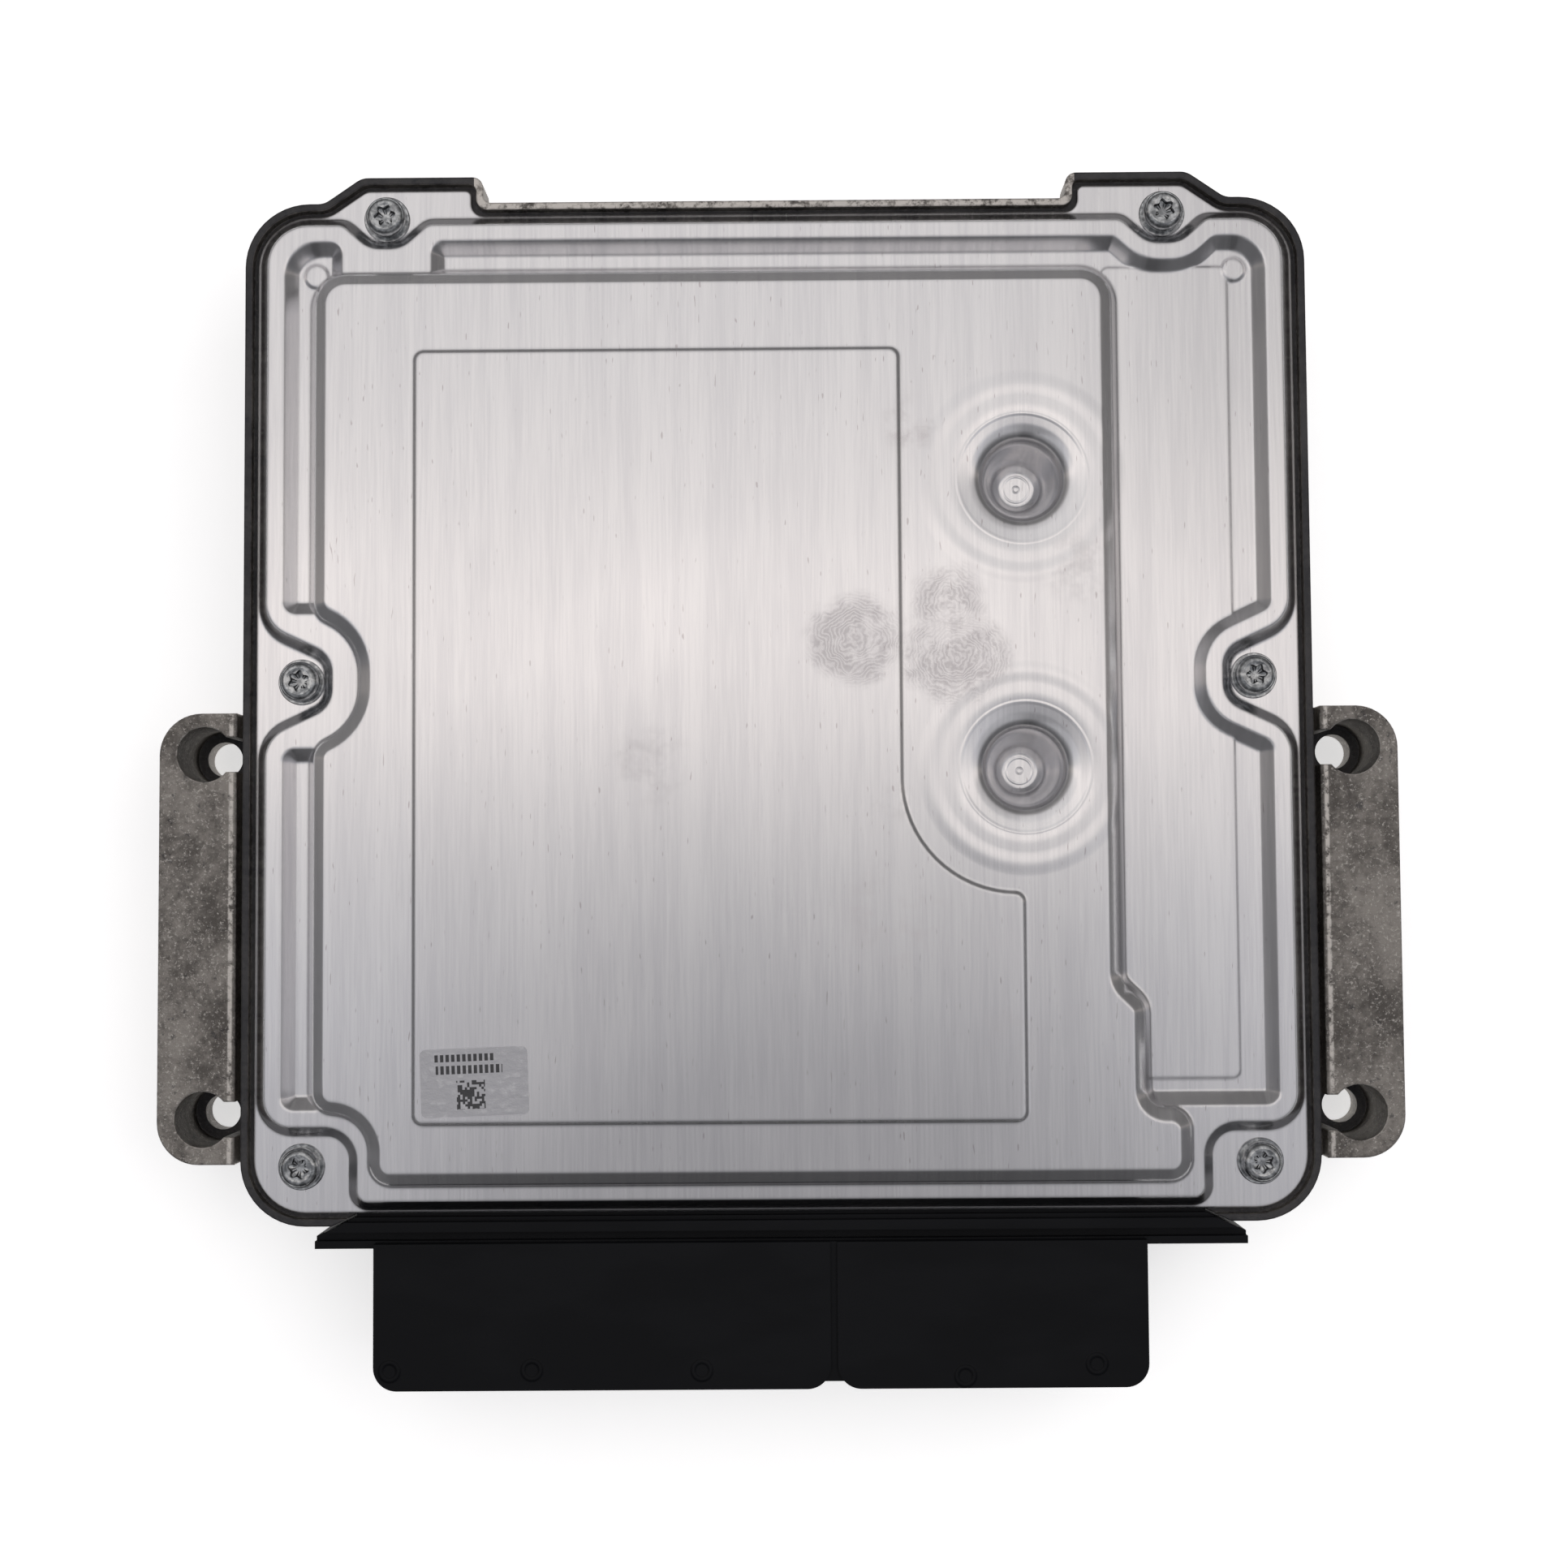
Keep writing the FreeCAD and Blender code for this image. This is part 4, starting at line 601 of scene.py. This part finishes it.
@dataclass(frozen=True)
class ZincPlate:
    """Bright zinc over cold-headed steel: a clear grey mirror with a faint haze."""

    light: str = "#B9BBBC"
    dark: str = "#7E8082"
    # Where the plating is clearest, and what its haze adds
    roughness: float = 0.12
    haze: float = 0.18
    haze_mm: Triple = (1.1, 1.1, 1.1)
    haze_range: Pair = (0.38, 0.66)
    dimple_mm: Triple = (0.5, 0.5, 0.5)
    dimple_depth: float = 0.01

    def material(self) -> bpy.types.Material:
        """Build the material.

        Returns:
            The material.
        """
        new = NewMaterial("zinc_plated_steel")
        tree, place = new.tree, new.place
        haze = grain(tree, place, self.haze_mm, 4.0, 0.6)
        colour = add_node(tree, Kind.BLEND, add_node(tree, Kind.RAMP, haze, *self.haze_range),
                          linear(self.dark), linear(self.light))
        rough = add_node(tree, Kind.MULTIPLY_ADD, haze, self.haze, self.roughness)
        dimples = grain(tree, place, self.dimple_mm, 2.0)
        normal = add_node(tree, Kind.BUMP, Height=dimples, Distance=self.dimple_depth * MM)
        return new.finish(Base_Color=colour, Metallic=1.0, Roughness=rough, Normal=normal)


@dataclass(frozen=True)
class LabelFilm:
    """Metallised polyester film, printed in black: silvery white, creased where it was
    pressed down, with neutral bars for its fields and a block pattern from a formula."""

    film: str = "#BCBCC0"
    crease: str = "#DADADC"
    ink: str = "#1A1A1E"
    x: float = -52.2
    y: float = -64.0
    turn: float = 2.0
    code_middle: Pair = (-0.6, -2.1)
    code_size: float = 4.9
    code_cells: int = 12
    # White noise over this makes a cell of the block pattern black
    code_limit: float = 0.48
    dash_pitch: float = 0.95
    dash_share: float = 0.62
    ink_share: float = 0.92
    metallic: float = 0.55
    roughness: float = 0.42
    crease_range: Pair = (0.52, 0.70)
    crease_share: float = 0.5
    crumple_mm: Triple = (1.6, 1.2, 1.0)
    crumple_depth: float = 0.10
    # Middle along and across, half width and half depth of each line of dashes
    bars: tuple[tuple[float, float, float, float], ...] = (
        (-1.6, 4.2, 5.4, 0.62), (-0.8, 2.2, 5.7, 0.72))

    def inside(self, tree: bpy.types.NodeTree, along: Any, across: Any,
               box: tuple[float, float, float, float]) -> Any:
        """Tell whether a place lies in a box on the label.

        Args:
            tree: The node tree.
            along: Socket of the place along the label's width, in millimetres.
            across: Socket of the place along its depth.
            box: Middle along and across, half width and half depth.

        Returns:
            Socket that is 1 inside and 0 outside.
        """
        sides = []
        for value, middle, half in ((along, box[0], box[2]), (across, box[1], box[3])):
            off = add_node(tree, Kind.ABSOLUTE, add_node(tree, Kind.SUBTRACT, value, middle))
            sides.append(add_node(tree, Kind.LESS_THAN, off, half))
        return add_node(tree, Kind.MULTIPLY, *sides)

    def material(self) -> bpy.types.Material:
        """Build the material.

        Returns:
            The material.
        """
        new = NewMaterial("metallised_label_film")
        tree, place = new.tree, new.place
        turned = add_node(tree, Kind.PLACED, Vector=place, Location=(self.x * MM, self.y * MM, 0),
                          Rotation=(0, 0, math.radians(self.turn)), Scale=(MM, MM, MM))
        along, across = add_node(tree, Kind.SPLIT, turned).node.outputs[:2]
        cell = self.code_size / self.code_cells
        snapped = add_node(tree, Kind.SNAP, turned, (cell, cell, 100.0))
        chance = add_node(tree, Kind.WHITE_NOISE, Vector=snapped)
        half = self.code_size / 2
        code = self.inside(tree, along, across, (*self.code_middle, half, half))
        black = add_node(tree, Kind.GREATER_THAN, chance, self.code_limit)
        ink = add_node(tree, Kind.MULTIPLY, code, black)
        # Short dashes stand for a line of print: they spell nothing
        phase = add_node(tree, Kind.MULTIPLY, along, 1 / self.dash_pitch)
        phase = add_node(tree, Kind.FRACT, phase)
        dash = add_node(tree, Kind.LESS_THAN, phase, self.dash_share)
        for box in self.bars:
            bar = add_node(tree, Kind.MULTIPLY, self.inside(tree, along, across, box), dash)
            ink = add_node(tree, Kind.MAXIMUM, ink, bar)
        crumple = grain(tree, place, self.crumple_mm, 3.0, 0.6)
        creases = add_node(tree, Kind.RAMP, crumple, *self.crease_range)
        creases = add_node(tree, Kind.MULTIPLY, creases, self.crease_share)
        colour = add_node(tree, Kind.BLEND, creases, linear(self.film), linear(self.crease))
        colour = add_node(tree, Kind.BLEND, add_node(tree, Kind.MULTIPLY, ink, self.ink_share),
                          colour, linear(self.ink))
        metal = add_node(tree, Kind.MULTIPLY_ADD, ink, -self.metallic, self.metallic)
        normal = add_node(tree, Kind.BUMP, Height=crumple, Distance=self.crumple_depth * MM)
        return new.finish(Base_Color=colour, Metallic=metal, Roughness=self.roughness,
                          Normal=normal)


@dataclass(frozen=True)
class PlainFinish:
    """A finish with two tones and a fine grain, for what stays inside the housing."""

    name: str
    light: str
    dark: str
    metallic: float
    roughness: float
    grain_mm: float
    depth_mm: float = 0.01
    haze: float = 0.1
    tone_range: Pair = (0.35, 0.65)

    def material(self) -> bpy.types.Material:
        """Build the material.

        Returns:
            The material.
        """
        new = NewMaterial(self.name)
        tree = new.tree
        tone = grain(tree, new.place, (self.grain_mm,) * 3, 3.0)
        colour = add_node(tree, Kind.BLEND, add_node(tree, Kind.RAMP, tone, *self.tone_range),
                          linear(self.dark), linear(self.light))
        rough = add_node(tree, Kind.MULTIPLY_ADD, tone, self.haze,
                         self.roughness - self.haze / 2)
        normal = add_node(tree, Kind.BUMP, Height=tone, Distance=self.depth_mm * MM)
        return new.finish(Base_Color=colour, Metallic=self.metallic, Roughness=rough,
                          Normal=normal)


class Inner(Enum):
    """Finishes of the pieces inside the housing, with their record slots."""

    # Cured silicone: a dull, dark grey bead with a soft sheen
    SEALANT = ("sealant", PlainFinish("cured_silicone", "#4A4A4C", "#38383A", 0.0, 0.5, 3.0))
    # Glass and epoxy board under green solder resist, which looks glossy and even
    LAMINATE = ("board_laminate",
                PlainFinish("solder_resist", "#1E5A34", "#174629", 0.0, 0.35, 5.0))
    # Epoxy moulding compound: flat black with a fine eroded grain
    EPOXY = ("chip_plastic", PlainFinish("moulded_epoxy", "#232324", "#191919", 0.0, 0.6, 0.4))
    # Fired barium titanate: tan and slightly glossy
    CERAMIC = ("ceramic", PlainFinish("fired_ceramic", "#A58766", "#8A6E50", 0.0, 0.3, 0.8))
    # Deep-drawn aluminium can: bright and smooth
    CAN = ("can_aluminium", PlainFinish("drawn_can", "#C9C9CB", "#ADADB0", 1.0, 0.3, 2.0))
    # Pressed and sintered ferrite: nearly black, dull, with a faint metallic gleam
    FERRITE = ("ferrite", PlainFinish("pressed_ferrite", "#3A3A3D", "#2A2A2C", 0.2, 0.6, 0.5))
    # Filled silicone pad: matt, blue-grey and soft
    GAP_PAD = ("thermal_pad", PlainFinish("gap_pad", "#8796A8", "#748496", 0.0, 0.7, 1.5))
    # Tinned brass: pale, warm and bright
    TIN = ("contact_metal", PlainFinish("tinned_brass", "#CFC9BC", "#B3AB9B", 1.0, 0.28, 1.2))


INNER_NODES: dict[Inner, tuple[str, ...]] = {
    Inner.SEALANT: ("cover_gasket", "header_seal"),
    Inner.LAMINATE: ("circuit_board",),
    Inner.EPOXY: ("microcontroller", "power_supply_chip", "watchdog_chip", "driver_chips",
                  "output_transistors", "rectifier_diodes", "shunt_resistors",
                  "pressure_sensor"),
    Inner.CERAMIC: ("filter_capacitors",),
    Inner.CAN: ("electrolytic_capacitors",),
    Inner.FERRITE: ("storage_coils",),
    Inner.GAP_PAD: ("dimple_pads", "thermal_pads"),
    Inner.TIN: ("signal_pins_large_bay", "signal_pins_small_bay", "power_blades"),
}


def paint(piece: bpy.types.Object, material: bpy.types.Material) -> None:
    """Give a piece one material in place of what it has."""
    piece.data.materials.clear()
    piece.data.materials.append(material)


def pick(piece: bpy.types.Object) -> None:
    """Select one piece alone and make it the active one."""
    bpy.ops.object.select_all(action="DESELECT")
    piece.select_set(True)
    bpy.context.view_layer.objects.active = piece


def smooth(piece: bpy.types.Object, degrees: float) -> None:
    """Shade a piece smooth up to an angle, with its broad faces kept truly flat.

    Args:
        piece: The piece.
        degrees: Where two faces meet at more than this, the edge stays sharp.
    """
    pick(piece)
    bpy.ops.object.shade_smooth_by_angle(angle=math.radians(degrees))
    even = piece.modifiers.new("flat_faces_first", "WEIGHTED_NORMAL")
    even.keep_sharp = True
    even.weight = 100
    bpy.ops.object.modifier_apply(modifier=even.name)


def turn_profile(name: str, rings: list[Pair], segments: int) -> bpy.types.Object:
    """Turn a profile about the upright axis, closed at both ends.

    Args:
        name: The new piece's name.
        rings: Radius and height of each ring in millimetres, from the lowest cap on.
        segments: How many sides each ring has.

    Returns:
        The new piece.
    """
    bpy.ops.object.select_all(action="DESELECT")
    radius, height = rings[0]
    bpy.ops.mesh.primitive_circle_add(vertices=segments, radius=radius * MM, fill_type="NGON",
                                      location=(0, 0, height * MM))
    piece = bpy.context.active_object
    piece.name = name
    bpy.ops.object.transform_apply(location=True)
    bpy.ops.object.mode_set(mode="EDIT")
    bpy.ops.mesh.select_all(action="SELECT")
    for next_radius, next_height in rings[1:]:
        rise = (next_height - height) * MM
        bpy.ops.mesh.extrude_region_move(TRANSFORM_OT_translate={"value": (0, 0, rise)})
        share = next_radius / radius
        bpy.ops.transform.resize(value=(share, share, 1), center_override=(0, 0, next_height * MM))
        radius, height = next_radius, next_height
    bpy.ops.mesh.select_all(action="SELECT")
    bpy.ops.mesh.normals_make_consistent(inside=False)
    bpy.ops.object.mode_set(mode="OBJECT")
    return piece


def settle(piece: bpy.types.Object, material: bpy.types.Material,
           stands_for: str) -> None:
    """Finish a piece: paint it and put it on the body.

    Args:
        piece: The piece, in place.
        material: Its material.
        stands_for: The CAD node that it replaces.
    """
    paint(piece, material)
    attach(piece, "root")
    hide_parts(stands_for)
    LOG.info("%s: %d faces", piece.name, len(piece.data.polygons))


@dataclass
class DressedNode:
    """A CAD node shown with merged faces, eased edges and smooth shading."""

    node: str
    slot: str
    material: bpy.types.Material
    edge_mm: float = 0.0
    edge_segments: int = 2
    edge_from_degrees: float = 38.0
    smooth_degrees: float = 30.0
    merge_mm: float = 0.002
    flat_degrees: float = 0.3

    def build(self, frame: dict[str, Any]) -> None:
        """Copy the node and dress the copy.
        """
        source = frame["nodes"][self.node]
        piece = bpy.data.objects.new(f"{self.node}_dressed", source.data.copy())
        bpy.context.scene.collection.objects.link(piece)
        pick(piece)
        bpy.ops.mesh.customdata_custom_splitnormals_clear()
        bpy.ops.object.mode_set(mode="EDIT")
        bpy.ops.mesh.select_all(action="SELECT")
        bpy.ops.mesh.remove_doubles(threshold=self.merge_mm * MM)
        bpy.ops.mesh.dissolve_limited(angle_limit=math.radians(self.flat_degrees))
        bpy.ops.object.mode_set(mode="OBJECT")
        self.reshape(piece)
        if self.edge_mm:
            ease = piece.modifiers.new("eased_edges", "BEVEL")
            ease.width = self.edge_mm * MM
            ease.segments = self.edge_segments
            ease.limit_method = "ANGLE"
            ease.angle_limit = math.radians(self.edge_from_degrees)
            bpy.ops.object.modifier_apply(modifier=ease.name)
        smooth(piece, self.smooth_degrees)
        settle(piece, self.material, self.node)

    def reshape(self, piece: bpy.types.Object) -> None:
        """Leave the CAD's shape as it is, as most nodes do."""


@dataclass
class DressedCover(DressedNode):
    """The cover, whose two deep dimples get the soft funnel mouths that a press draws."""

    centres: tuple[Pair, ...] = ()
    # Radius about the dimple's axis, and depth below the plateau
    funnel: tuple[Pair, ...] = (
        (13.3, 0.0), (11.3, 0.18), (9.3, 0.38), (8.3, 0.65), (7.5, 1.15), (6.9, 1.9),
        (6.3, 3.4), (5.6, 6.0), (4.2, 10.6), (3.1, 11.5))
    cuts: int = 3
    # How far past a ring of the funnel a vertex still belongs to it
    slack: float = 0.05
    # Faces whose normal's Z is under this are upright or belong to the sheet's inner side
    upright: float = 0.02

    def depth(self, reach: float) -> float:
        """Find the funnel's depth.

        Args:
            reach: Distance from its axis in millimetres.

        Returns:
            Depth below the plateau in millimetres.
        """
        for (wide, shallow), (narrow, deep) in zip(self.funnel, self.funnel[1:]):
            if reach >= narrow:
                return shallow + (deep - shallow) * (wide - reach) / (wide - narrow)
        return self.funnel[-1][1]

    def reshape(self, piece: bpy.types.Object) -> None:
        """Cut the dimples' upper walls finer and move them to the funnel's curve.

        Args:
            piece: The cover's copy.
        """
        mesh = piece.data
        outer, inner = self.funnel[1][0] + self.slack, self.funnel[-1][0] + self.slack
        for x, y in self.centres:
            middle = Vector((x, y)) * MM
            bpy.ops.object.mode_set(mode="EDIT")
            bpy.ops.mesh.select_mode(type="FACE")
            bpy.ops.mesh.select_all(action="DESELECT")
            bpy.ops.object.mode_set(mode="OBJECT")
            reach = [(vertex.co.xy - middle).length / MM for vertex in mesh.vertices]
            for face in mesh.polygons:
                furthest = max(reach[number] for number in face.vertices)
                face.select = face.normal.z > self.upright and inner < furthest < outer
            bpy.ops.object.mode_set(mode="EDIT")
            bpy.ops.mesh.subdivide(number_cuts=self.cuts)
            bpy.ops.object.mode_set(mode="OBJECT")
            moved = [vertex for vertex in mesh.vertices if vertex.select]
            plateau = min(vertex.co.z for vertex in moved) + self.funnel[-1][1] * MM
            for vertex in moved:
                vertex.co.z = plateau - self.depth((vertex.co.xy - middle).length / MM) * MM


@dataclass
class FineScrews:
    """The cover screws with their real heads: a collar, a dome and a six-lobed recess.

    They stand where the plain CAD screws stand, and replace them.
    """

    material: bpy.types.Material
    count: int = 6
    segments: int = 72
    shank: float = 2.0
    tip_share: float = 0.7
    collar: float = 4.0
    collar_height: float = 0.5
    # How far inwards and along the collar's lower and upper edges are broken
    lower_break: Pair = (0.1, 0.12)
    upper_break: Pair = (0.12, 0.15)
    head: float = 3.5
    head_height: float = 2.5
    crown: float = 2.25
    dome_height: float = 1.35
    dome_rings: int = 8
    lobes: int = 6
    recess_segments: int = 96
    recess_mean: float = 1.66
    recess_wave: float = 0.26
    recess_rim: float = 0.14
    recess_depth: float = 1.5
    # The recess ends in a blunt point: its depth, and its width as a share of the lobes
    point_depth: float = 0.5
    point_share: float = 0.45
    turns: tuple[float, ...] = (8.0, 41.0, 22.0, 3.0, 50.0, 29.0)

    def rings(self, low: float, top: float) -> list[Pair]:
        """Profile of a screw.

        Args:
            low: Height of its tip in millimetres.
            top: Height of its crown.

        Returns:
            Radius and height of each ring.
        """
        seat = top - self.head_height - self.collar_height
        (lower_in, lower_up), (upper_in, upper_down) = self.lower_break, self.upper_break
        rings = [(self.shank * self.tip_share, low), (self.shank, low + self.shank / 2),
                 (self.shank, seat),
                 (self.collar - lower_in, seat), (self.collar, seat + lower_up),
                 (self.collar, seat + self.collar_height - upper_down),
                 (self.collar - upper_in, seat + self.collar_height),
                 (self.head, seat + self.collar_height)]
        for step in range(self.dome_rings):
            angle = math.radians(90 * step / (self.dome_rings - 1))
            rings.append((self.crown + (self.head - self.crown) * math.cos(angle),
                          top - self.dome_height * (1 - math.sin(angle))))
        rings.append((self.recess_mean + self.recess_wave, top - self.recess_rim))
        return rings

    def recess(self, top: float) -> bpy.types.Object:
        """Make the tool that cuts the recess.

        Args:
            top: Height of the crown in millimetres.

        Returns:
            The tool.
        """
        floor = top - self.recess_depth
        point = floor - self.point_depth
        tool = turn_profile("recess_tool", [(0.9, point), (1.0, floor), (1.0, top + 1)],
                            self.recess_segments)
        # The round rings get their lobes
        for vertex in tool.data.vertices:
            angle = math.atan2(vertex.co.y, vertex.co.x)
            reach = self.recess_mean + self.recess_wave * math.cos(self.lobes * angle)
            narrow = self.point_share if vertex.co.z < (point + floor) / 2 * MM else 1.0
            vertex.co.xy = Vector((math.cos(angle), math.sin(angle))) * reach * narrow * MM
        return tool

    def build(self) -> None:
        """Build the six screws from one."""
        low, high = (Vector(corner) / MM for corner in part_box("cover_screw_1"))
        master = turn_profile("screw_master", self.rings(low.z, high.z), self.segments)
        tool = self.recess(high.z)
        pick(master)
        cut = master.modifiers.new("recess", "BOOLEAN")
        cut.operation, cut.solver, cut.object = "DIFFERENCE", "EXACT", tool
        bpy.ops.object.modifier_apply(modifier=cut.name)
        bpy.data.objects.remove(tool)
        smooth(master, 35.0)
        for number, turn in zip(range(1, self.count + 1), self.turns):
            low, high = (Vector(corner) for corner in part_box(f"cover_screw_{number}"))
            middle = Vector(((low.x + high.x) / 2, (low.y + high.y) / 2, 0))
            screw = bpy.data.objects.new(f"fine_cover_screw_{number}", master.data.copy())
            bpy.context.scene.collection.objects.link(screw)
            screw.data.transform(Matrix.Translation(middle)
                                 @ Matrix.Rotation(math.radians(turn), 4, "Z"))
            settle(screw, self.material, f"cover_screw_{number}")
        bpy.data.objects.remove(master)


@dataclass
class Studio:
    """White table, soft ceiling light, and the camera of the photograph."""

    # Found by fitting the part's outline: place, turn in radians and focal length in pixels
    camera_mm: Triple = (2.404, -32.603, 402.756)
    camera_turn: Triple = (0.0517562, 0.0039715, -0.0068651)
    focal_px: float = 2660.0
    picture_px: float = 1932.0
    sensor_mm: float = 36.0
    floor_reach: float = 6.0
    key_place: Triple = (1.2, 0.4, 1.4)
    key_size: float = 1.6
    key_power: float = 6.0
    table_tones: tuple[str, str] = ("#F6F6F6", "#FAFAFA")
    fibre_mm: Triple = (6.0, 6.0, 6.0)
    floor_glow: float = 0.56
    ceiling_strength: float = 1.8
    # Height of the heading where walls end and the full ceiling starts, and the walls' light
    wall_heights: Pair = (0.4, 0.93)
    wall_share: float = 0.26
    # Headings along X and Y between which the ceiling gets lighter beside the camera
    beside_camera: tuple[Pair, Pair] = ((0.12, 0.20), (0.05, -0.045))
    beside_gain: float = 0.76
    # The same for the dimmer far right corner
    far_right: tuple[Pair, Pair] = ((0.13, 0.2), (0.13, 0.17))
    far_loss: float = 0.21
    # Place along Y of the heading, and the grey seen there
    ceiling: tuple[tuple[float, str], ...] = (
        (-0.20, "#727274"), (-0.05, "#818184"), (0.024, "#9D9D9F"), (0.08, "#D9D4D1"),
        (0.135, "#FFF6F1"), (0.165, "#BFBDBC"), (0.30, "#BAB8B8"))

    def camera(self) -> None:
        """Place the camera as the photograph's perspective asks."""
        lens = bpy.data.cameras.new("photo_camera")
        lens.sensor_width = self.sensor_mm
        lens.lens = self.focal_px / self.picture_px * self.sensor_mm
        lens.clip_start, lens.clip_end = 0.01, 20.0
        camera = bpy.data.objects.new("photo_camera", lens)
        camera.location = Vector(self.camera_mm) * MM
        camera.rotation_euler = Euler(self.camera_turn, "XYZ")
        bpy.context.scene.collection.objects.link(camera)
        bpy.context.scene.camera = camera

    def world(self) -> None:
        """Light the room: a bright ceiling behind the camera, dim in front and at the walls."""
        world = bpy.data.worlds.new("studio")
        bpy.context.scene.world = world
        world.use_nodes = True
        tree = world.node_tree
        tree.nodes.clear()
        heading = add_node(tree, Kind.COORDINATES).node.outputs["Generated"]
        across, along, upward = add_node(tree, Kind.SPLIT, heading).node.outputs
        tones = add_node(tree, Kind.TONES, add_node(tree, Kind.MULTIPLY_ADD, along, 0.5, 0.5))
        points = tones.node.color_ramp.elements
        while len(points) < len(self.ceiling):
            points.new(0.5)
        for point, (at, tone) in zip(points, self.ceiling):
            point.position = at * 0.5 + 0.5
            point.color = linear(tone)
        high = add_node(tree, Kind.RAMP, upward, *self.wall_heights, self.wall_share, 1.0)
        aside = add_node(tree, Kind.ABSOLUTE, across)
        for sideways, zone, gain in ((aside, self.beside_camera, self.beside_gain),
                                     (across, self.far_right, -self.far_loss)):
            part = add_node(tree, Kind.MULTIPLY, add_node(tree, Kind.RAMP, sideways, *zone[0]),
                            add_node(tree, Kind.RAMP, along, *zone[1]))
            light = add_node(tree, Kind.MULTIPLY_ADD, part, gain, 1.0)
            high = add_node(tree, Kind.MULTIPLY, high, light)
        strength = add_node(tree, Kind.MULTIPLY, high, self.ceiling_strength)
        lit = add_node(tree, Kind.BACKGROUND, Color=tones, Strength=strength)
        seen = add_node(tree, Kind.BACKGROUND, Color=(1, 1, 1, 1), Strength=1.0)
        by_camera = add_node(tree, Kind.LIGHT_PATH).node.outputs["Is Camera Ray"]
        chosen = add_node(tree, Kind.EITHER_SHADER, by_camera, lit, seen)
        add_node(tree, Kind.WORLD_OUTPUT, Surface=chosen)

    def lamps(self) -> None:
        """Hang one softbox to the right and behind, which throws the soft shadow."""
        data = bpy.data.lights.new("softbox", "AREA")
        data.shape, data.size, data.energy = "SQUARE", self.key_size, self.key_power
        lamp = bpy.data.objects.new("softbox", data)
        lamp.location = self.key_place
        lamp.rotation_euler = Vector(self.key_place).to_track_quat("Z", "Y").to_euler()
        # The metal mirrors the ceiling alone, as in the photograph
        lamp.visible_glossy = False
        bpy.context.scene.collection.objects.link(lamp)

    def floor(self) -> None:
        """Lay the white table top, which keeps the object's shadow."""
        bpy.ops.object.select_all(action="DESELECT")
        bpy.ops.mesh.primitive_plane_add(size=self.floor_reach)
        table = bpy.context.active_object
        table.name = "table_top"
        new = NewMaterial("white_table")
        tree = new.tree
        fibres = grain(tree, new.place, self.fibre_mm, 3.0)
        white = add_node(tree, Kind.BLEND, fibres, *(linear(tone) for tone in self.table_tones))
        matt = add_node(tree, Kind.DIFFUSE, Color=white)
        path = add_node(tree, Kind.LIGHT_PATH).node.outputs
        mirrored = add_node(tree, Kind.MAXIMUM, path["Is Glossy Ray"], path["Is Transmission Ray"])
        shown = add_node(tree, Kind.MAXIMUM, path["Is Camera Ray"], mirrored)
        strength = add_node(tree, Kind.MULTIPLY, shown, self.floor_glow)
        glow = add_node(tree, Kind.EMISSION, Color=(1, 1, 1, 1), Strength=strength)
        both = add_node(tree, Kind.BOTH_SHADERS, matt, glow)
        add_node(tree, Kind.MATERIAL_OUTPUT, Surface=both)
        table.data.materials.append(new.material)

    def build(self) -> None:
        """Set up the whole studio."""
        self.camera()
        self.world()
        self.lamps()
        self.floor()
        bpy.context.scene.view_settings.view_transform = "Standard"


@dataclass
class ControlUnit:
    """The dressed part: its shown nodes and the pieces inside."""

    frame: dict[str, Any]

    def dimple_centres(self) -> tuple[Pair, ...]:
        """Find the dimples' axes from the two round pads under them.

        Returns:
            X and Y of each axis, in millimetres.
        """
        low, high = (Vector(corner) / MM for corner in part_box("dimple_pads"))
        x, radius = (low.x + high.x) / 2, (high.x - low.x) / 2
        return (x, high.y - radius), (x, low.y + radius)

    def dress_outside(self) -> None:
        """Dress the housing, cover, header, screws, vent and label."""
        centres = self.dimple_centres()
        casting = CastAluminium(rim_top=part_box("housing")[1][2] / MM).material()
        sheet = RolledSheet(ring_centres=centres).material()
        plastic = MouldedPlastic().material()
        zinc = ZincPlate().material()
        film = LabelFilm().material()
        wanted = [
            DressedNode("housing", "cast_aluminium", casting, edge_mm=0.25),
            DressedCover("cover", "sheet_aluminium", sheet, centres=centres),
            DressedNode("connector_header", "black_plastic", plastic, edge_mm=0.15),
            DressedNode("vent_plug", "black_plastic", plastic),
            DressedNode("trace_label", "label_film", film),
        ]
        for item in wanted:
            item.build(self.frame)
        FineScrews(zinc).build()
        for node in ("board_screws", "crystal"):
            self.paint_node(node, "zinc_steel", zinc)

    def paint_node(self, node: str, slot: str, material: bpy.types.Material) -> None:
        """Paint a CAD node that is shown as it is.

        Args:
            node: The node's name.
            slot: The record's material slot.
            material: Its material.
        """
        piece = self.frame["nodes"][node]
        paint(piece, material)
        LOG.info("%s: CAD node, %s", node, slot)

    def paint_inside(self) -> None:
        """Paint everything that lies inside the housing."""
        for kind, nodes in INNER_NODES.items():
            slot, finish = kind.value
            material = finish.material()
            for node in nodes:
                self.paint_node(node, slot, material)


def main() -> None:
    """Load the frame, dress the part and set up the studio."""
    logging.basicConfig(level=logging.INFO, format="%(name)s: %(message)s")
    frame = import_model()
    unit = ControlUnit(frame)
    unit.dress_outside()
    unit.paint_inside()
    Studio().build()


if __name__ == "__main__":
    main()
